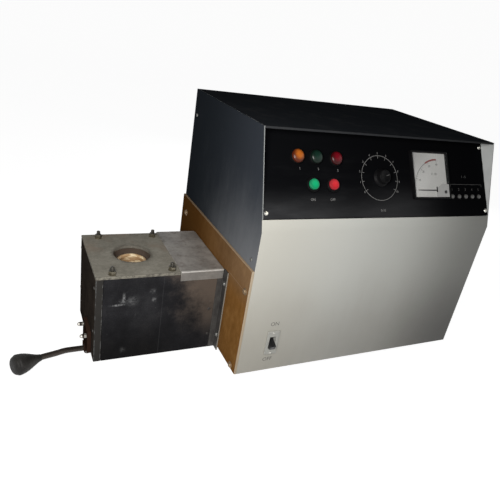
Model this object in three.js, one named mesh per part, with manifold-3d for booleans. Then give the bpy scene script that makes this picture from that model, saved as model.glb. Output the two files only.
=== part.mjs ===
// Electric gold melting furnace: a bench cabinet with a sloped control panel, and a melting box on its left side.
// Millimetres, +Z up. The pieces are laid out from the cabinet's front bottom left corner (X right, Y back),
// and the whole group is then moved so that its origin is the centre of its footprint, on the table.
import * as THREE from "three";
import { mergeVertices } from "three/addons/utils/BufferGeometryUtils.js";
import Module from "manifold-3d";

const wasm = await Module();
wasm.setup();

// Driving dimensions
const GAP = 0.3;
const CABINET = { width: 600, depth: 430, height: 509, bend: 326, frontTop: 349, sheet: 1.5 };
const HOOD = { front: 62, lip: 4 };
const FOOT = { radius: 20, height: 34, fromSide: 50, fromFront: 75 };
const TRAY = { plate: 2, rim: 18 };
const PANEL = { footY: 8, footZ: 350, headY: 103.2, thickness: 3 };
const BOARD = { thickness: 5, height: 245 };
const BOX = { left: -273, front: 119, back: 317, bottom: -12, top: 187, endWall: 15, wall: 12, lid: 6 };
const BOX_FLOOR = { bottom: 16, top: 28 };
const WELL = { x: -183, y: 214, mouthRadius: 39, sleeveRadius: 47 };
const CRUCIBLE = { rimRadius: 32, baseRadius: 27, wall: 7, bottom: 43.3, recess: 18, floor: 9 };
const LIFTER = { plateRadius: 29, plateBottom: 31, plateTop: 43, rodRadius: 5, rodBottom: -12.6 };
const COVER = { left: -103, right: -8.6, flange: 20 };
const ANGLE = { thickness: 2.5, onBoard: 22, onBox: 15, bottom: -8, frontTop: 190, rearTop: 178 };
const COIL = { tubeRadius: 4, radius: 53, bottom: 50, top: 150, turns: 6.5, leadEnd: 45, stepsPerTurn: 20, sides: 6 };
const PIVOT = { x: -277, y: 180, z: -19, pinRadius: 4, bossRadius: 7, bossWidth: 14.4, lug: 4.5 };
const LEVER_RADIUS = 6;
const LEVER_TIP_RADIUS = 6.8;
const GRIP = { radius: 22, neckRadius: 7.8, length: 66 };
const LAMPS = [
  { name: "amber", u: 83.5, v: 120.7, colour: 0xc98a1c },
  { name: "green", u: 125.5, v: 120.5, colour: 0x14502a },
  { name: "red", u: 172, v: 119, colour: 0xa0301e },
];
const BUTTONS = [
  { name: "start", u: 114, v: 66, colour: 0x1f7a3c },
  { name: "stop", u: 160.5, v: 66, colour: 0xb02a20 },
];
const PILOT = { rim: 14.8, body: 10.6, bore: 8.6, height: 7, seat: 1.5, depth: 26 };
const LENS_RADIUS = 13.2;
const CAP_RADIUS = 10.8;
const KNOB = { u: 283.3, v: 83.2, skirt: 19, grip: 14.5, height: 16, bottom: 2.6, bore: 3.4 };
const METER = { u: 421.8, v: 91.5, width: 107, height: 106, rim: 3.5, depth: 9, body: 90, bodyDepth: 45 };
const NEEDLE = { u: 445, v: 58, length: 60, hub: 4.5, width: 1.6 };
const ZERO_SCREW = { u: 460, v: 53.5, radius: 3.6 };
const FAULT_LAMPS = { count: 5, u: 487.1, v: 44.7, pitch: 21.1, rim: 6, body: 3.9 };
const SWITCH = { x: 70, z: 72.5, width: 28, height: 57, bodyWidth: 22, bodyHeight: 48, tilt: 25 };
const FAN = { x: 440, z: 330, size: 120, bore: 55, depth: 25, blades: 7 };
const ROUND = 24;

const PAINT_DARK = { color: 0x33383d, roughness: 0.45, metalness: 0.3 };
const PAINT_LIGHT = { color: 0xc6c8c0, roughness: 0.5, metalness: 0.2 };
const GLOSS_BLACK = { color: 0x17191b, roughness: 0.2, metalness: 0.1 };
const PHENOLIC = { color: 0x7a552a, roughness: 0.45, metalness: 0 };
const SLATE = { color: 0x2a2c30, roughness: 0.6, metalness: 0.1 };
const CEMENT_BOARD = { color: 0x75705f, roughness: 0.85, metalness: 0 };
const STEEL = { color: 0x8a877f, roughness: 0.4, metalness: 0.8 };
const COPPER = { color: 0xb87345, roughness: 0.35, metalness: 1 };
const CERAMIC = { color: 0xd8c9ab, roughness: 0.9, metalness: 0 };
const CLAY = { color: 0xc99a55, roughness: 0.6, metalness: 0 };
const RUBBER = { color: 0x1c1c1c, roughness: 0.9, metalness: 0 };
const BLACK_PLASTIC = { color: 0x1b1b1b, roughness: 0.5, metalness: 0 };
const WHITE_CARD = { color: 0xe6e6e0, roughness: 0.8, metalness: 0 };
const CLEAR = { color: 0xdfe6ea, roughness: 0.1, metalness: 0, transparent: true, opacity: 0.3 };
const CIRCUIT = { color: 0x245a34, roughness: 0.6, metalness: 0.1 };

// Solids: closed three.js geometries, joined and cut by manifold-3d
function solidOf(geometry) {
  const bare = geometry.clone();
  bare.deleteAttribute("normal");
  bare.deleteAttribute("uv");
  const merged = mergeVertices(bare, 1e-4);
  const vertProperties = new Float32Array(merged.attributes.position.array);
  const triVerts = new Uint32Array(merged.index.array);
  return new wasm.Manifold(new wasm.Mesh({ numProp: 3, vertProperties, triVerts }));
}

function geometryOf(manifold) {
  const mesh = manifold.getMesh();
  const geometry = new THREE.BufferGeometry();
  geometry.setAttribute("position", new THREE.BufferAttribute(mesh.vertProperties, 3));
  geometry.setIndex(new THREE.BufferAttribute(mesh.triVerts, 1));
  geometry.computeVertexNormals();
  return geometry;
}

function join(first, ...others) {
  return geometryOf(others.reduce((sum, other) => sum.add(solidOf(other)), solidOf(first)));
}

function cut(body, ...tools) {
  return geometryOf(tools.reduce((rest, tool) => rest.subtract(solidOf(tool)), solidOf(body)));
}

function block(x0, x1, y0, y1, z0, z1) {
  const box = new THREE.BoxGeometry(x1 - x0, y1 - y0, z1 - z0);
  return box.translate((x0 + x1) / 2, (y0 + y1) / 2, (z0 + z1) / 2);
}

// A bar of round section that runs along one axis from a start point
function bar(axis, radius, length, x, y, z, segments = ROUND) {
  const cylinder = new THREE.CylinderGeometry(radius, radius, length, segments);
  cylinder.translate(0, length / 2, 0);
  if (axis === "x") cylinder.rotateZ(-Math.PI / 2);
  if (axis === "z") cylinder.rotateX(Math.PI / 2);
  return cylinder.translate(x, y, z);
}

// A turned solid about Z from [radius, height] points, listed from the bottom of the axis outwards and up
function turned(points, x = 0, y = 0, segments = ROUND) {
  const profile = points.map(([radius, height]) => new THREE.Vector2(radius, height));
  const lathe = new THREE.LatheGeometry(profile, segments);
  return lathe.rotateX(Math.PI / 2).translate(x, y, 0);
}

// A ring's profile closes on itself
function ring(points, x = 0, y = 0, segments = ROUND) {
  return turned([...points, points[0]], x, y, segments);
}

// A sheet or bar with the given outline in Y and Z, from x0 to x1
function slabAcross(outline, x0, x1) {
  const shape = new THREE.Shape(outline.map(([y, z]) => new THREE.Vector2(y, z)));
  const slab = new THREE.ExtrudeGeometry(shape, { depth: x1 - x0, bevelEnabled: false });
  const outlineToYZ = new THREE.Matrix4().set(0, 0, 1, 0, 1, 0, 0, 0, 0, 1, 0, 0, 0, 0, 0, 1);
  return slab.applyMatrix4(outlineToYZ).translate(x0, 0, 0);
}

function tubeAlong(curve, radius, sides, steps) {
  const section = new THREE.Shape();
  for (let i = 0; i < sides; i++) {
    const angle = (i / sides) * 2 * Math.PI;
    const x = radius * Math.cos(angle);
    const y = radius * Math.sin(angle);
    if (i === 0) section.moveTo(x, y);
    else section.lineTo(x, y);
  }
  section.closePath();
  return new THREE.ExtrudeGeometry(section, { steps, extrudePath: curve, bevelEnabled: false });
}

const furnace = new THREE.Group();

function piece(name, geometry, look, parent = furnace) {
  const mesh = new THREE.Mesh(geometry, new THREE.MeshStandardMaterial(look));
  mesh.name = name;
  parent.add(mesh);
  return mesh;
}

// Cabinet: base tray, wrap of separate sheets and feet. Above the bend the front sheet and the edges of the sides lean
// back in one line, and the sides and top reach past the control panel as a hood.
function addCabinet() {
  const { width, depth, height, bend, frontTop, sheet } = CABINET;
  const inner = sheet + GAP;
  const lean = HOOD.front / (height - bend);
  const hoodY = (z) => (z - bend) * lean;
  const across = Math.hypot(1, lean);

  const { plate, rim } = TRAY;
  const tray = block(inner, width - inner, inner, depth - inner, 0, rim);
  const folded = inner + plate;
  const trayInside = block(folded, width - folded, folded, depth - folded, plate, rim + 1);
  piece("chassis_base", cut(tray, trayInside), PAINT_DARK);

  const switchHole = block(
    SWITCH.x - SWITCH.bodyWidth / 2 - GAP,
    SWITCH.x + SWITCH.bodyWidth / 2 + GAP,
    -1,
    sheet + 1,
    SWITCH.z - SWITCH.bodyHeight / 2 - GAP,
    SWITCH.z + SWITCH.bodyHeight / 2 + GAP,
  );
  const front = [
    [0, 0],
    [0, bend],
    [hoodY(frontTop), frontTop],
    [hoodY(frontTop) + sheet * across, frontTop],
    [sheet, bend + (sheet - sheet * across) / lean],
    [sheet, 0],
  ];
  piece("front_panel", cut(slabAcross(front, 0, width), switchHole), PAINT_LIGHT);

  const step = frontTop + GAP;
  const side = [
    [inner, 0],
    [inner, bend + (inner - inner * across) / lean],
    [hoodY(step) + inner * across, step],
    [hoodY(step), step],
    [HOOD.front, height],
    [depth - inner, height],
    [depth - inner, 0],
  ];
  const leadHoles = coilLeadPlaces().map(([y, z]) => bar("x", 12, 10, -5, y, z));
  piece("left_side_panel", cut(slabAcross(side, 0, sheet), ...leadHoles), PAINT_DARK);
  piece("right_side_panel", slabAcross(side, width - sheet, width), PAINT_DARK);
  const lipBottom = height - HOOD.lip;
  const top = [
    [HOOD.front, lipBottom],
    [HOOD.front, height],
    [depth - inner, height],
    [depth - inner, height - sheet],
    [HOOD.front + sheet, height - sheet],
    [HOOD.front + sheet, lipBottom],
  ];
  piece("top_panel", slabAcross(top, inner, width - inner), PAINT_DARK);

  const fanSlots = [];
  const slotPitch = 12;
  for (let row = -4; row <= 4; row++) {
    const z = row * slotPitch;
    const half = Math.sqrt((FAN.bore - 3) ** 2 - z * z);
    const x = FAN.x;
    fanSlots.push(block(x - half, x + half, depth - 5, depth + 1, FAN.z + z - 3.5, FAN.z + z + 3.5));
  }
  for (let row = 0; row < 7; row++) {
    const z = 70 + row * slotPitch;
    fanSlots.push(block(200, 320, depth - 5, depth + 1, z, z + 5));
  }
  const glandHole = bar("y", 9, 10, 90, depth - 5, 60);
  const rear = block(0, width, depth - sheet, depth, 0, height);
  piece("rear_panel", cut(rear, glandHole, ...fanSlots), PAINT_DARK);

  const xs = [FOOT.fromSide, width - FOOT.fromSide];
  const ys = [FOOT.fromFront, depth - FOOT.fromFront];
  const places = [
    ["front_left", xs[0], ys[0]],
    ["front_right", xs[1], ys[0]],
    ["rear_left", xs[0], ys[1]],
    ["rear_right", xs[1], ys[1]],
  ];
  const footProfile = [
    [0, -FOOT.height],
    [FOOT.radius - 3, -FOOT.height],
    [FOOT.radius, -GAP],
    [0, -GAP],
  ];
  for (const [corner, x, y] of places) piece("foot_" + corner, turned(footProfile, x, y, 20), RUBBER);

  const gland = ring(
    [
      [5.5, 0],
      [8.4, 0],
      [8.4, 6 - GAP],
      [13, 6 - GAP],
      [13, 12],
      [10, 20],
      [5.5, 20],
    ],
    0,
    0,
    16,
  );
  gland.rotateX(-Math.PI / 2).translate(90, depth - 5.7, 60);
  piece("cable_gland", gland, BLACK_PLASTIC);
}

// Control panel: local X runs along the cabinet, local Y up the slope, local Z out of the panel
function addControlPanel() {
  const { width, height, sheet } = CABINET;
  const rise = height - PANEL.footZ;
  const run = PANEL.headY - PANEL.footY;
  const panel = new THREE.Group();
  panel.position.set(0, PANEL.footY, PANEL.footZ);
  panel.rotation.x = Math.atan2(rise, run);
  furnace.add(panel);

  const pilotHoles = [...LAMPS, ...BUTTONS].map(({ u, v }) => bar("z", PILOT.body + 0.4, 10, u, v, -6));
  const faultHoles = [];
  for (let i = 0; i < FAULT_LAMPS.count; i++) {
    const u = FAULT_LAMPS.u + i * FAULT_LAMPS.pitch;
    faultHoles.push(bar("z", FAULT_LAMPS.body + 0.4, 10, u, FAULT_LAMPS.v, -6, 16));
  }
  const halfBody = METER.body / 2 + 0.5;
  const meterHole = block(
    METER.u - halfBody,
    METER.u + halfBody,
    METER.v - halfBody,
    METER.v + halfBody,
    -6,
    4,
  );
  const shaftHole = bar("z", 5.3, 10, KNOB.u, KNOB.v, -6);
  const left = sheet + GAP;
  const lowerEdge = 0.8;
  const upperEdge = Math.hypot(rise, run) - 2 * (sheet + GAP);
  const plate = block(left, width - left, lowerEdge, upperEdge, -PANEL.thickness, 0);
  piece("control_panel", cut(plate, ...pilotHoles, ...faultHoles, meterHole, shaftHole), GLOSS_BLACK, panel);

  const bezel = (well) => [
    [PILOT.bore, -PILOT.depth],
    [PILOT.body, -PILOT.depth],
    [PILOT.body, GAP],
    [PILOT.rim, GAP],
    [PILOT.rim, PILOT.height - 2],
    [PILOT.rim - 0.7, PILOT.height],
    [well, PILOT.height],
    [well, PILOT.seat],
    [PILOT.bore, PILOT.seat],
  ];
  for (const lamp of LAMPS) {
    const rim = ring(bezel(LENS_RADIUS + GAP), lamp.u, lamp.v);
    piece(lamp.name + "_lamp_bezel", rim, BLACK_PLASTIC, panel);
    const radius = LENS_RADIUS;
    const dome = [
      [0, PILOT.seat + GAP],
      [radius, PILOT.seat + GAP],
      [radius, PILOT.height + 1],
      [radius * 0.86, PILOT.height + 4],
      [radius * 0.5, PILOT.height + 6],
      [0, PILOT.height + 6.6],
    ];
    piece(lamp.name + "_lamp_lens", turned(dome, lamp.u, lamp.v), { color: lamp.colour, roughness: 0.2 }, panel);
  }
  for (const button of BUTTONS) {
    const rim = ring(bezel(CAP_RADIUS + GAP), button.u, button.v);
    piece(button.name + "_button_bezel", rim, BLACK_PLASTIC, panel);
    const radius = CAP_RADIUS;
    const cap = [
      [0, -PILOT.depth + 6],
      [PILOT.bore - GAP, -PILOT.depth + 6],
      [PILOT.bore - GAP, PILOT.height - 0.7],
      [radius, PILOT.height - 0.7],
      [radius, PILOT.height + 2.6],
      [radius - 1.2, PILOT.height + 3.6],
      [0, PILOT.height + 4],
    ];
    piece(button.name + "_button", turned(cap, button.u, button.v), { color: button.colour, roughness: 0.35 }, panel);
  }

  for (let i = 0; i < FAULT_LAMPS.count; i++) {
    const { rim: outer, body, u, v, pitch } = FAULT_LAMPS;
    const profile = [
      [0, -12],
      [body, -12],
      [body, GAP],
      [outer, GAP],
      [outer - 0.8, 2.2],
      [body - 0.6, 2.2],
      [body - 0.9, 4],
      [0, 5.4],
    ];
    const place = turned(profile, u + i * pitch, v, 16);
    piece("fault_lamp_" + (i + 1), place, { color: 0x3c3c39, roughness: 0.3, metalness: 0.1 }, panel);
  }

  const track = [
    [0, -20],
    [12, -20],
    [12, -PANEL.thickness - GAP],
    [4.9, -PANEL.thickness - GAP],
    [4.9, 1.8],
    [KNOB.bore - GAP, 1.8],
    [KNOB.bore - GAP, 14],
    [0, 14],
  ];
  piece("power_potentiometer", turned(track, KNOB.u, KNOB.v, 20), STEEL, panel);
  const top = KNOB.bottom + KNOB.height;
  const knobProfile = [
    [KNOB.bore, KNOB.bottom],
    [KNOB.skirt, KNOB.bottom],
    [KNOB.skirt, KNOB.bottom + 3],
    [KNOB.grip + 1.5, KNOB.bottom + 5.5],
    [KNOB.grip, top - 1.5],
    [KNOB.grip - 1.5, top],
    [0, top],
    [0, 15],
    [KNOB.bore, 15],
  ];
  const knob = new THREE.Mesh(ring(knobProfile, KNOB.u, KNOB.v, 32), new THREE.MeshStandardMaterial(BLACK_PLASTIC));
  knob.name = "power_knob";
  panel.add(knob);

  addMeter(panel);
}

// Moving-coil meter: the needle turns about the lower right corner of its dial
function addMeter(panel) {
  const { u, v, width, height, rim, depth, body, bodyDepth } = METER;
  const window = { x: width / 2 - rim, y: height / 2 - rim };
  const flange = block(u - width / 2, u + width / 2, v - height / 2, v + height / 2, GAP, depth);
  const back = block(u - body / 2, u + body / 2, v - body / 2, v + body / 2, -bodyDepth, 1);
  const pocket = block(u - window.x, u + window.x, v - window.y, v + window.y, 1.6, depth + 5);
  piece("meter_case", cut(join(flange, back), pocket), BLACK_PLASTIC, panel);

  const half = { x: window.x - GAP, y: window.y - GAP };
  const plate = (z0, z1) => block(u - half.x, u + half.x, v - half.y, v + half.y, z0, z1);
  piece("meter_dial", plate(1.9, 2.9), WHITE_CARD, panel);

  const blade = block(-NEEDLE.length, 8, -NEEDLE.width / 2, NEEDLE.width / 2, 0.1, 0.9);
  const hub = bar("z", NEEDLE.hub, 1.4, 0, 0, 0, 16);
  const needle = piece("meter_needle", join(hub, blade), BLACK_PLASTIC, panel);
  needle.position.set(NEEDLE.u, NEEDLE.v, 3.4);

  const screwHole = bar("z", ZERO_SCREW.radius - 1, 10, ZERO_SCREW.u, ZERO_SCREW.v, 0, 16);
  piece("meter_window", cut(plate(5.6, depth - 0.8), screwHole), CLEAR, panel);
  const screw = turned(
    [
      [0, 5.6],
      [ZERO_SCREW.radius - 1.4, 5.6],
      [ZERO_SCREW.radius - 1.4, depth - 0.5],
      [ZERO_SCREW.radius, depth - 0.5],
      [ZERO_SCREW.radius, depth + 1],
      [0, depth + 1],
    ],
    0,
    0,
    16,
  );
  const slot = block(-ZERO_SCREW.radius, ZERO_SCREW.radius, -0.6, 0.6, depth + 0.2, depth + 3);
  const zero = piece("meter_zero_screw", cut(screw, slot), BLACK_PLASTIC, panel);
  zero.position.set(ZERO_SCREW.u, ZERO_SCREW.v, 0);
}

// Two-way switch on the lower front, with a paddle that rocks about a pin along X
function addModeSwitch() {
  const { x, z, width, height, bodyWidth, bodyHeight, tilt } = SWITCH;
  const plate = block(x - width / 2, x + width / 2, -4, -GAP, z - height / 2, z + height / 2);
  const body = block(x - bodyWidth / 2, x + bodyWidth / 2, -1, 34, z - bodyHeight / 2, z + bodyHeight / 2);
  const pocket = block(x - 7.6, x + 7.6, -6, 22, z - 15, z + 15);
  piece("mode_switch_body", cut(join(plate, body), pocket), { color: 0xa9a9a2, roughness: 0.5 });

  const hub = bar("x", 6.5, 14, -7, 0, 0, 20);
  const paddle = block(-7, 7, -22, 0, -5.5, 5.5);
  const lever = piece("mode_switch_lever", join(hub, paddle), BLACK_PLASTIC);
  lever.position.set(x, 10, z);
  lever.rotation.x = THREE.MathUtils.degToRad(tilt);
}

// Phenolic board that carries the melting box on the cabinet's left side
function addInsulatingBoard() {
  const right = -GAP;
  const left = right - BOARD.thickness;
  const holes = coilLeadPlaces().map(([y, z]) => bar("x", 8, 20, -15, y, z));
  piece("insulating_board", cut(block(left, right, 0, CABINET.depth, 0, BOARD.height), ...holes), PHENOLIC);
}

// Melting box: boards around the coil, steel cover and mounting angles
function addMeltingBox() {
  const { left, front, back, bottom, top, endWall, wall, lid } = BOX;
  const boardFace = -GAP - BOARD.thickness;
  const right = boardFace - GAP;
  const wallTop = top - lid - GAP;
  const inside = left + endWall + GAP;

  const notch = block(left - 1, left + endWall + 1, PIVOT.y - 11, PIVOT.y + 15, bottom - 1, bottom + 8);
  piece("box_end_wall", cut(block(left, left + endWall, front, back, bottom, wallTop), notch), SLATE);
  piece("box_front_wall", block(inside, right, front, front + wall, bottom, wallTop), SLATE);
  piece("box_rear_wall", block(inside, right, back - wall, back, bottom, wallTop), SLATE);

  const mouth = bar("z", WELL.mouthRadius, 40, WELL.x, WELL.y, top - 20, 32);
  piece("box_top_board", cut(block(left, right, front, back, top - lid, top), mouth), CEMENT_BOARD);
  const floor = block(
    inside,
    right - GAP,
    front + wall + GAP,
    back - wall - GAP,
    BOX_FLOOR.bottom,
    BOX_FLOOR.top,
  );
  const rodHole = bar("z", LIFTER.rodRadius + 1.5, 40, WELL.x, WELL.y, 0);
  piece("box_floor", cut(floor, rodHole), CEMENT_BOARD);

  const sheet = CABINET.sheet;
  const coverTop = top + GAP + sheet;
  const coverSkirt = top - COVER.flange;
  const coverOutline = [
    [front - GAP - sheet, coverSkirt],
    [front - GAP - sheet, coverTop],
    [back + GAP + sheet, coverTop],
    [back + GAP + sheet, coverSkirt],
    [back + GAP, coverSkirt],
    [back + GAP, top + GAP],
    [front - GAP, top + GAP],
    [front - GAP, coverSkirt],
  ];
  piece("lead_cover", slabAcross(coverOutline, COVER.left, COVER.right), STEEL);

  const legEnd = coverSkirt - 1;
  for (const [end, face, out, angleTop] of [
    ["front", front - GAP, -1, ANGLE.frontTop],
    ["rear", back + GAP, 1, ANGLE.rearTop],
  ]) {
    const near = Math.min(face, face + out * ANGLE.onBoard);
    const whole = block(right - ANGLE.onBox, right, near, near + ANGLE.onBoard, ANGLE.bottom, angleTop);
    const legFace = face + out * ANGLE.thickness;
    const beyond = face + out * (ANGLE.onBoard + 1);
    const clearX = [right - ANGLE.onBox - 1, right - ANGLE.thickness];
    const clearY = [Math.min(legFace, beyond), Math.max(legFace, beyond)];
    const inCorner = block(...clearX, ...clearY, ANGLE.bottom - 1, angleTop + 1);
    const underCover = block(...clearX, near - 1, near + ANGLE.onBoard + 1, legEnd, angleTop + 1);
    piece("box_angle_" + end, cut(whole, inCorner, underCover), STEEL);
  }
}

// Coil leads pass the board and the side sheet at these Y and Z places
function coilLeadPlaces() {
  return [
    [WELL.y + COIL.radius, COIL.bottom],
    [WELL.y - COIL.radius, COIL.top],
  ];
}

// Coil centre line: a straight lead in, a helix, and a straight lead out
class CoilCurve extends THREE.Curve {
  constructor() {
    super();
    this.lead = COIL.leadEnd - WELL.x;
    this.helix = COIL.turns * 2 * Math.PI * COIL.radius;
    this.total = this.helix + 2 * this.lead;
  }
  getPoint(t, target = new THREE.Vector3()) {
    const s = t * this.total;
    const [[yIn, zIn], [yOut, zOut]] = coilLeadPlaces();
    if (s < this.lead) return target.set(COIL.leadEnd - s, yIn, zIn);
    if (s > this.lead + this.helix) return target.set(WELL.x + s - this.lead - this.helix, yOut, zOut);
    const part = (s - this.lead) / this.helix;
    const angle = Math.PI / 2 + part * COIL.turns * 2 * Math.PI;
    const x = WELL.x + COIL.radius * Math.cos(angle);
    const y = WELL.y + COIL.radius * Math.sin(angle);
    return target.set(x, y, THREE.MathUtils.lerp(COIL.bottom, COIL.top, part));
  }
}

// Least gap between parts of a tube that are more than a third of a turn apart along it
function leastGap(curve, radius, count, apart) {
  const points = curve.getPoints(count);
  const skip = Math.ceil((apart / curve.total) * count);
  let least = Infinity;
  for (let i = 0; i < points.length; i++) {
    for (let j = i + skip; j < points.length; j++) {
      least = Math.min(least, points[i].distanceTo(points[j]) - 2 * radius);
    }
  }
  return least;
}

// Furnace insides: coil, refractory sleeve, crucible and the plate that lifts it
function addFurnaceInsides() {
  const curve = new CoilCurve();
  curve.arcLengthDivisions = 600;
  const steps = Math.round((COIL.turns * COIL.stepsPerTurn * curve.total) / curve.helix);
  piece("induction_coil", tubeAlong(curve, COIL.tubeRadius, COIL.sides, steps), COPPER);
  const gap = leastGap(curve, COIL.tubeRadius, 900, (2 * Math.PI * COIL.radius) / 3);
  console.log("coil: least gap to itself " + gap.toFixed(1) + " mm");

  const sleeveTop = BOX.top - BOX.lid - GAP;
  const sleeve = [
    [WELL.mouthRadius, BOX_FLOOR.top + GAP],
    [WELL.sleeveRadius, BOX_FLOOR.top + GAP],
    [WELL.sleeveRadius, sleeveTop],
    [WELL.mouthRadius, sleeveTop],
  ];
  piece("furnace_sleeve", ring(sleeve, WELL.x, WELL.y, 32), CERAMIC);

  const rim = BOX.top - CRUCIBLE.recess;
  const { rimRadius, baseRadius, wall, bottom, floor } = CRUCIBLE;
  const pot = [
    [0, bottom],
    [baseRadius - 5, bottom],
    [baseRadius, bottom + 5],
    [rimRadius, rim],
    [rimRadius - wall, rim],
    [baseRadius - wall, bottom + floor + 9],
    [baseRadius - wall - 9, bottom + floor],
    [0, bottom + floor],
  ];
  piece("crucible", turned(pot, WELL.x, WELL.y, 32), CLAY);

  const lifter = [
    [0, LIFTER.rodBottom],
    [LIFTER.rodRadius, LIFTER.rodBottom],
    [LIFTER.rodRadius, LIFTER.plateBottom],
    [LIFTER.plateRadius, LIFTER.plateBottom],
    [LIFTER.plateRadius, LIFTER.plateTop],
    [0, LIFTER.plateTop],
  ];
  piece("crucible_lifter", turned(lifter, WELL.x, WELL.y), STEEL);
}

// Lift lever: a bent rod under the box, on a pin below the end wall, with a grip outside
function addLiftLever() {
  const { x, y, z, pinRadius, bossRadius, bossWidth, lug } = PIVOT;
  const route = [
    [WELL.x, WELL.y, z],
    [-212, 208, z],
    [-250, 184, z],
    [x, y, z],
    [-290, 178, -17.6],
    [-305, 172.5, -13.6],
    [-322.6, 164.2, -8],
    [-343, 154.7, -5],
    [-369.2, 142.3, -0.4],
    [-404, 125.8, 3.2],
  ].map((p) => new THREE.Vector3(...p));
  const curve = new THREE.CatmullRomCurve3(route, false, "centripetal");
  const rod = tubeAlong(curve, LEVER_RADIUS, 12, 36);
  const tip = new THREE.SphereGeometry(LEVER_TIP_RADIUS, 12, 8).translate(WELL.x, WELL.y, z - 0.7);
  const boss = bar("y", bossRadius, bossWidth, x, y - bossWidth / 2, z, 20);
  const pinBore = bar("y", pinRadius + GAP, 40, x, y - 20, z, 20);
  piece("lift_lever", cut(join(rod, tip, boss), pinBore), STEEL);

  // The grip slips over the rod's end and follows its direction from the neck
  const neck = new THREE.Vector3(-365, 144.3, -0.9);
  const end = new THREE.Vector3(-423.5, 116.5, 5);
  const along = end.clone().sub(neck).normalize();
  const length = GRIP.length;
  const r = GRIP.radius;
  const profile = [
    [0, 0],
    [GRIP.neckRadius, 0],
    [GRIP.neckRadius + 0.7, 4],
    [GRIP.neckRadius + 3.4, 13],
    [r - 7.2, 26],
    [r - 3.4, 39],
    [r - 0.6, 50],
    [r, 56],
    [r - 2.6, 62],
    [r - 8, length],
    [0, length + 1],
  ];
  const grip = turned(profile, 0, 0, 20);
  const toLever = new THREE.Quaternion().setFromUnitVectors(new THREE.Vector3(0, 0, 1), along);
  grip.applyQuaternion(toLever).translate(neck.x, neck.y, neck.z);
  const socket = tubeAlong(curve, LEVER_RADIUS + GAP, 12, 36);
  const rodEnd = route[route.length - 1];
  const relief = new THREE.SphereGeometry(LEVER_RADIUS + GAP + 0.2, 12, 8).translate(rodEnd.x, rodEnd.y, rodEnd.z);
  piece("lever_grip", cut(grip, socket, relief), RUBBER);

  const inner = bossWidth / 2 + GAP;
  const plate = block(BOX.left - GAP - 8, BOX.left - GAP, 148, 208, BOX.bottom + 2, 42);
  const lugs = [];
  for (const side of [-1, 1]) {
    const y0 = side < 0 ? y - inner - lug : y + inner;
    lugs.push(block(x - bossRadius, BOX.left - GAP, y0, y0 + lug, z, BOX.bottom + 6));
    lugs.push(bar("y", bossRadius, lug, x, y0, z, 20));
  }
  const bore = bar("y", pinRadius + GAP, 60, x, y - 30, z, 20);
  piece("lever_bracket", cut(join(plate, ...lugs), bore), { color: 0x5a3a28, roughness: 0.6 });
  const pinLength = 2 * (inner + lug) + 6;
  piece("lever_pin", bar("y", pinRadius, pinLength, x, y - pinLength / 2, z, 20), STEEL);
}

// Power electronics on the base tray
function addElectronics() {
  const deck = 2 + GAP;
  const core = block(60, 200, 210, 300, deck, 120);
  const windows = [block(85, 120, 200, 310, 28, 95), block(140, 175, 200, 310, 28, 95)];
  const winding = block(122, 138, 196, 314, 30, 93);
  piece("output_transformer", join(cut(core, ...windows), winding), { color: 0x4c4a48, roughness: 0.6 });

  const deckPlate = block(60, 210, 60, 150, deck, 10);
  const cans = [0, 1, 2].map((i) => bar("z", 21, 80, 85 + i * 50, 105, 9, 20));
  piece("capacitor_bank", join(deckPlate, ...cans), { color: 0x2b4f7a, roughness: 0.5 });

  const fins = [];
  for (let i = 0; i < 10; i++) fins.push(block(262 + i * 15, 266 + i * 15, 182, 338, 14, 62));
  piece("inverter_heatsink", join(block(258, 405, 180, 340, deck, 16), ...fins), STEEL);

  const board = block(250, 410, 90, 92, deck, 150);
  const chips = [0, 1, 2, 3].map((i) => block(262 + i * 36, 286 + i * 36, 84, 91, 40 + (i % 2) * 50, 70 + (i % 2) * 50));
  piece("control_board", join(board, ...chips), CIRCUIT);

  const base = block(455, 525, 80, 150, deck, 60);
  piece("power_contactor", join(base, block(465, 515, 90, 140, 59, 88)), BLACK_PLASTIC);
}

// Rear fan: frame with a cross that holds the motor, and a bladed rotor
function addFan() {
  const { x, z, size, bore, depth, blades } = FAN;
  const back = CABINET.depth - CABINET.sheet - GAP;
  const front = back - depth;
  const frame = cut(
    block(x - size / 2, x + size / 2, front, back, z - size / 2, z + size / 2),
    bar("y", bore, depth + 20, x, front - 10, z, 32),
  );
  const cross = [
    block(x - bore - 2, x + bore + 2, front + 0.5, front + 3, z - 4, z + 4),
    block(x - 4, x + 4, front + 0.5, front + 3, z - bore - 2, z + bore + 2),
  ];
  const motor = bar("y", 19, 4.2, x, front + 0.8, z);
  piece("fan_housing", join(frame, ...cross, motor), BLACK_PLASTIC);

  const hub = bar("y", 18, depth - 9, 0, 0, 0);
  const bladeSolids = [];
  for (let i = 0; i < blades; i++) {
    const blade = block(-13, 13, -1, 1, 14, bore - 2.5);
    blade.rotateZ(THREE.MathUtils.degToRad(30)).translate(0, (depth - 9) / 2, 0);
    blade.rotateY((i / blades) * 2 * Math.PI);
    bladeSolids.push(blade);
  }
  const rotor = piece("fan_rotor", join(hub, ...bladeSolids), BLACK_PLASTIC);
  rotor.position.set(x, front + 6, z);
}

addCabinet();
addControlPanel();
addModeSwitch();
addInsulatingBoard();
addMeltingBox();
addFurnaceInsides();
addLiftLever();
addElectronics();
addFan();

furnace.updateMatrixWorld(true);
const extent = new THREE.Box3().setFromObject(furnace, true);
const footprint = extent.getCenter(new THREE.Vector3());
furnace.position.set(-footprint.x, -footprint.y, -extent.min.z);
const size = extent.getSize(new THREE.Vector3());
console.log("origin at cabinet corner plus", footprint.x.toFixed(4), footprint.y.toFixed(4), extent.min.z.toFixed(4));
console.log("size", size.x.toFixed(2), size.y.toFixed(2), size.z.toFixed(2));

export default furnace;
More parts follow.
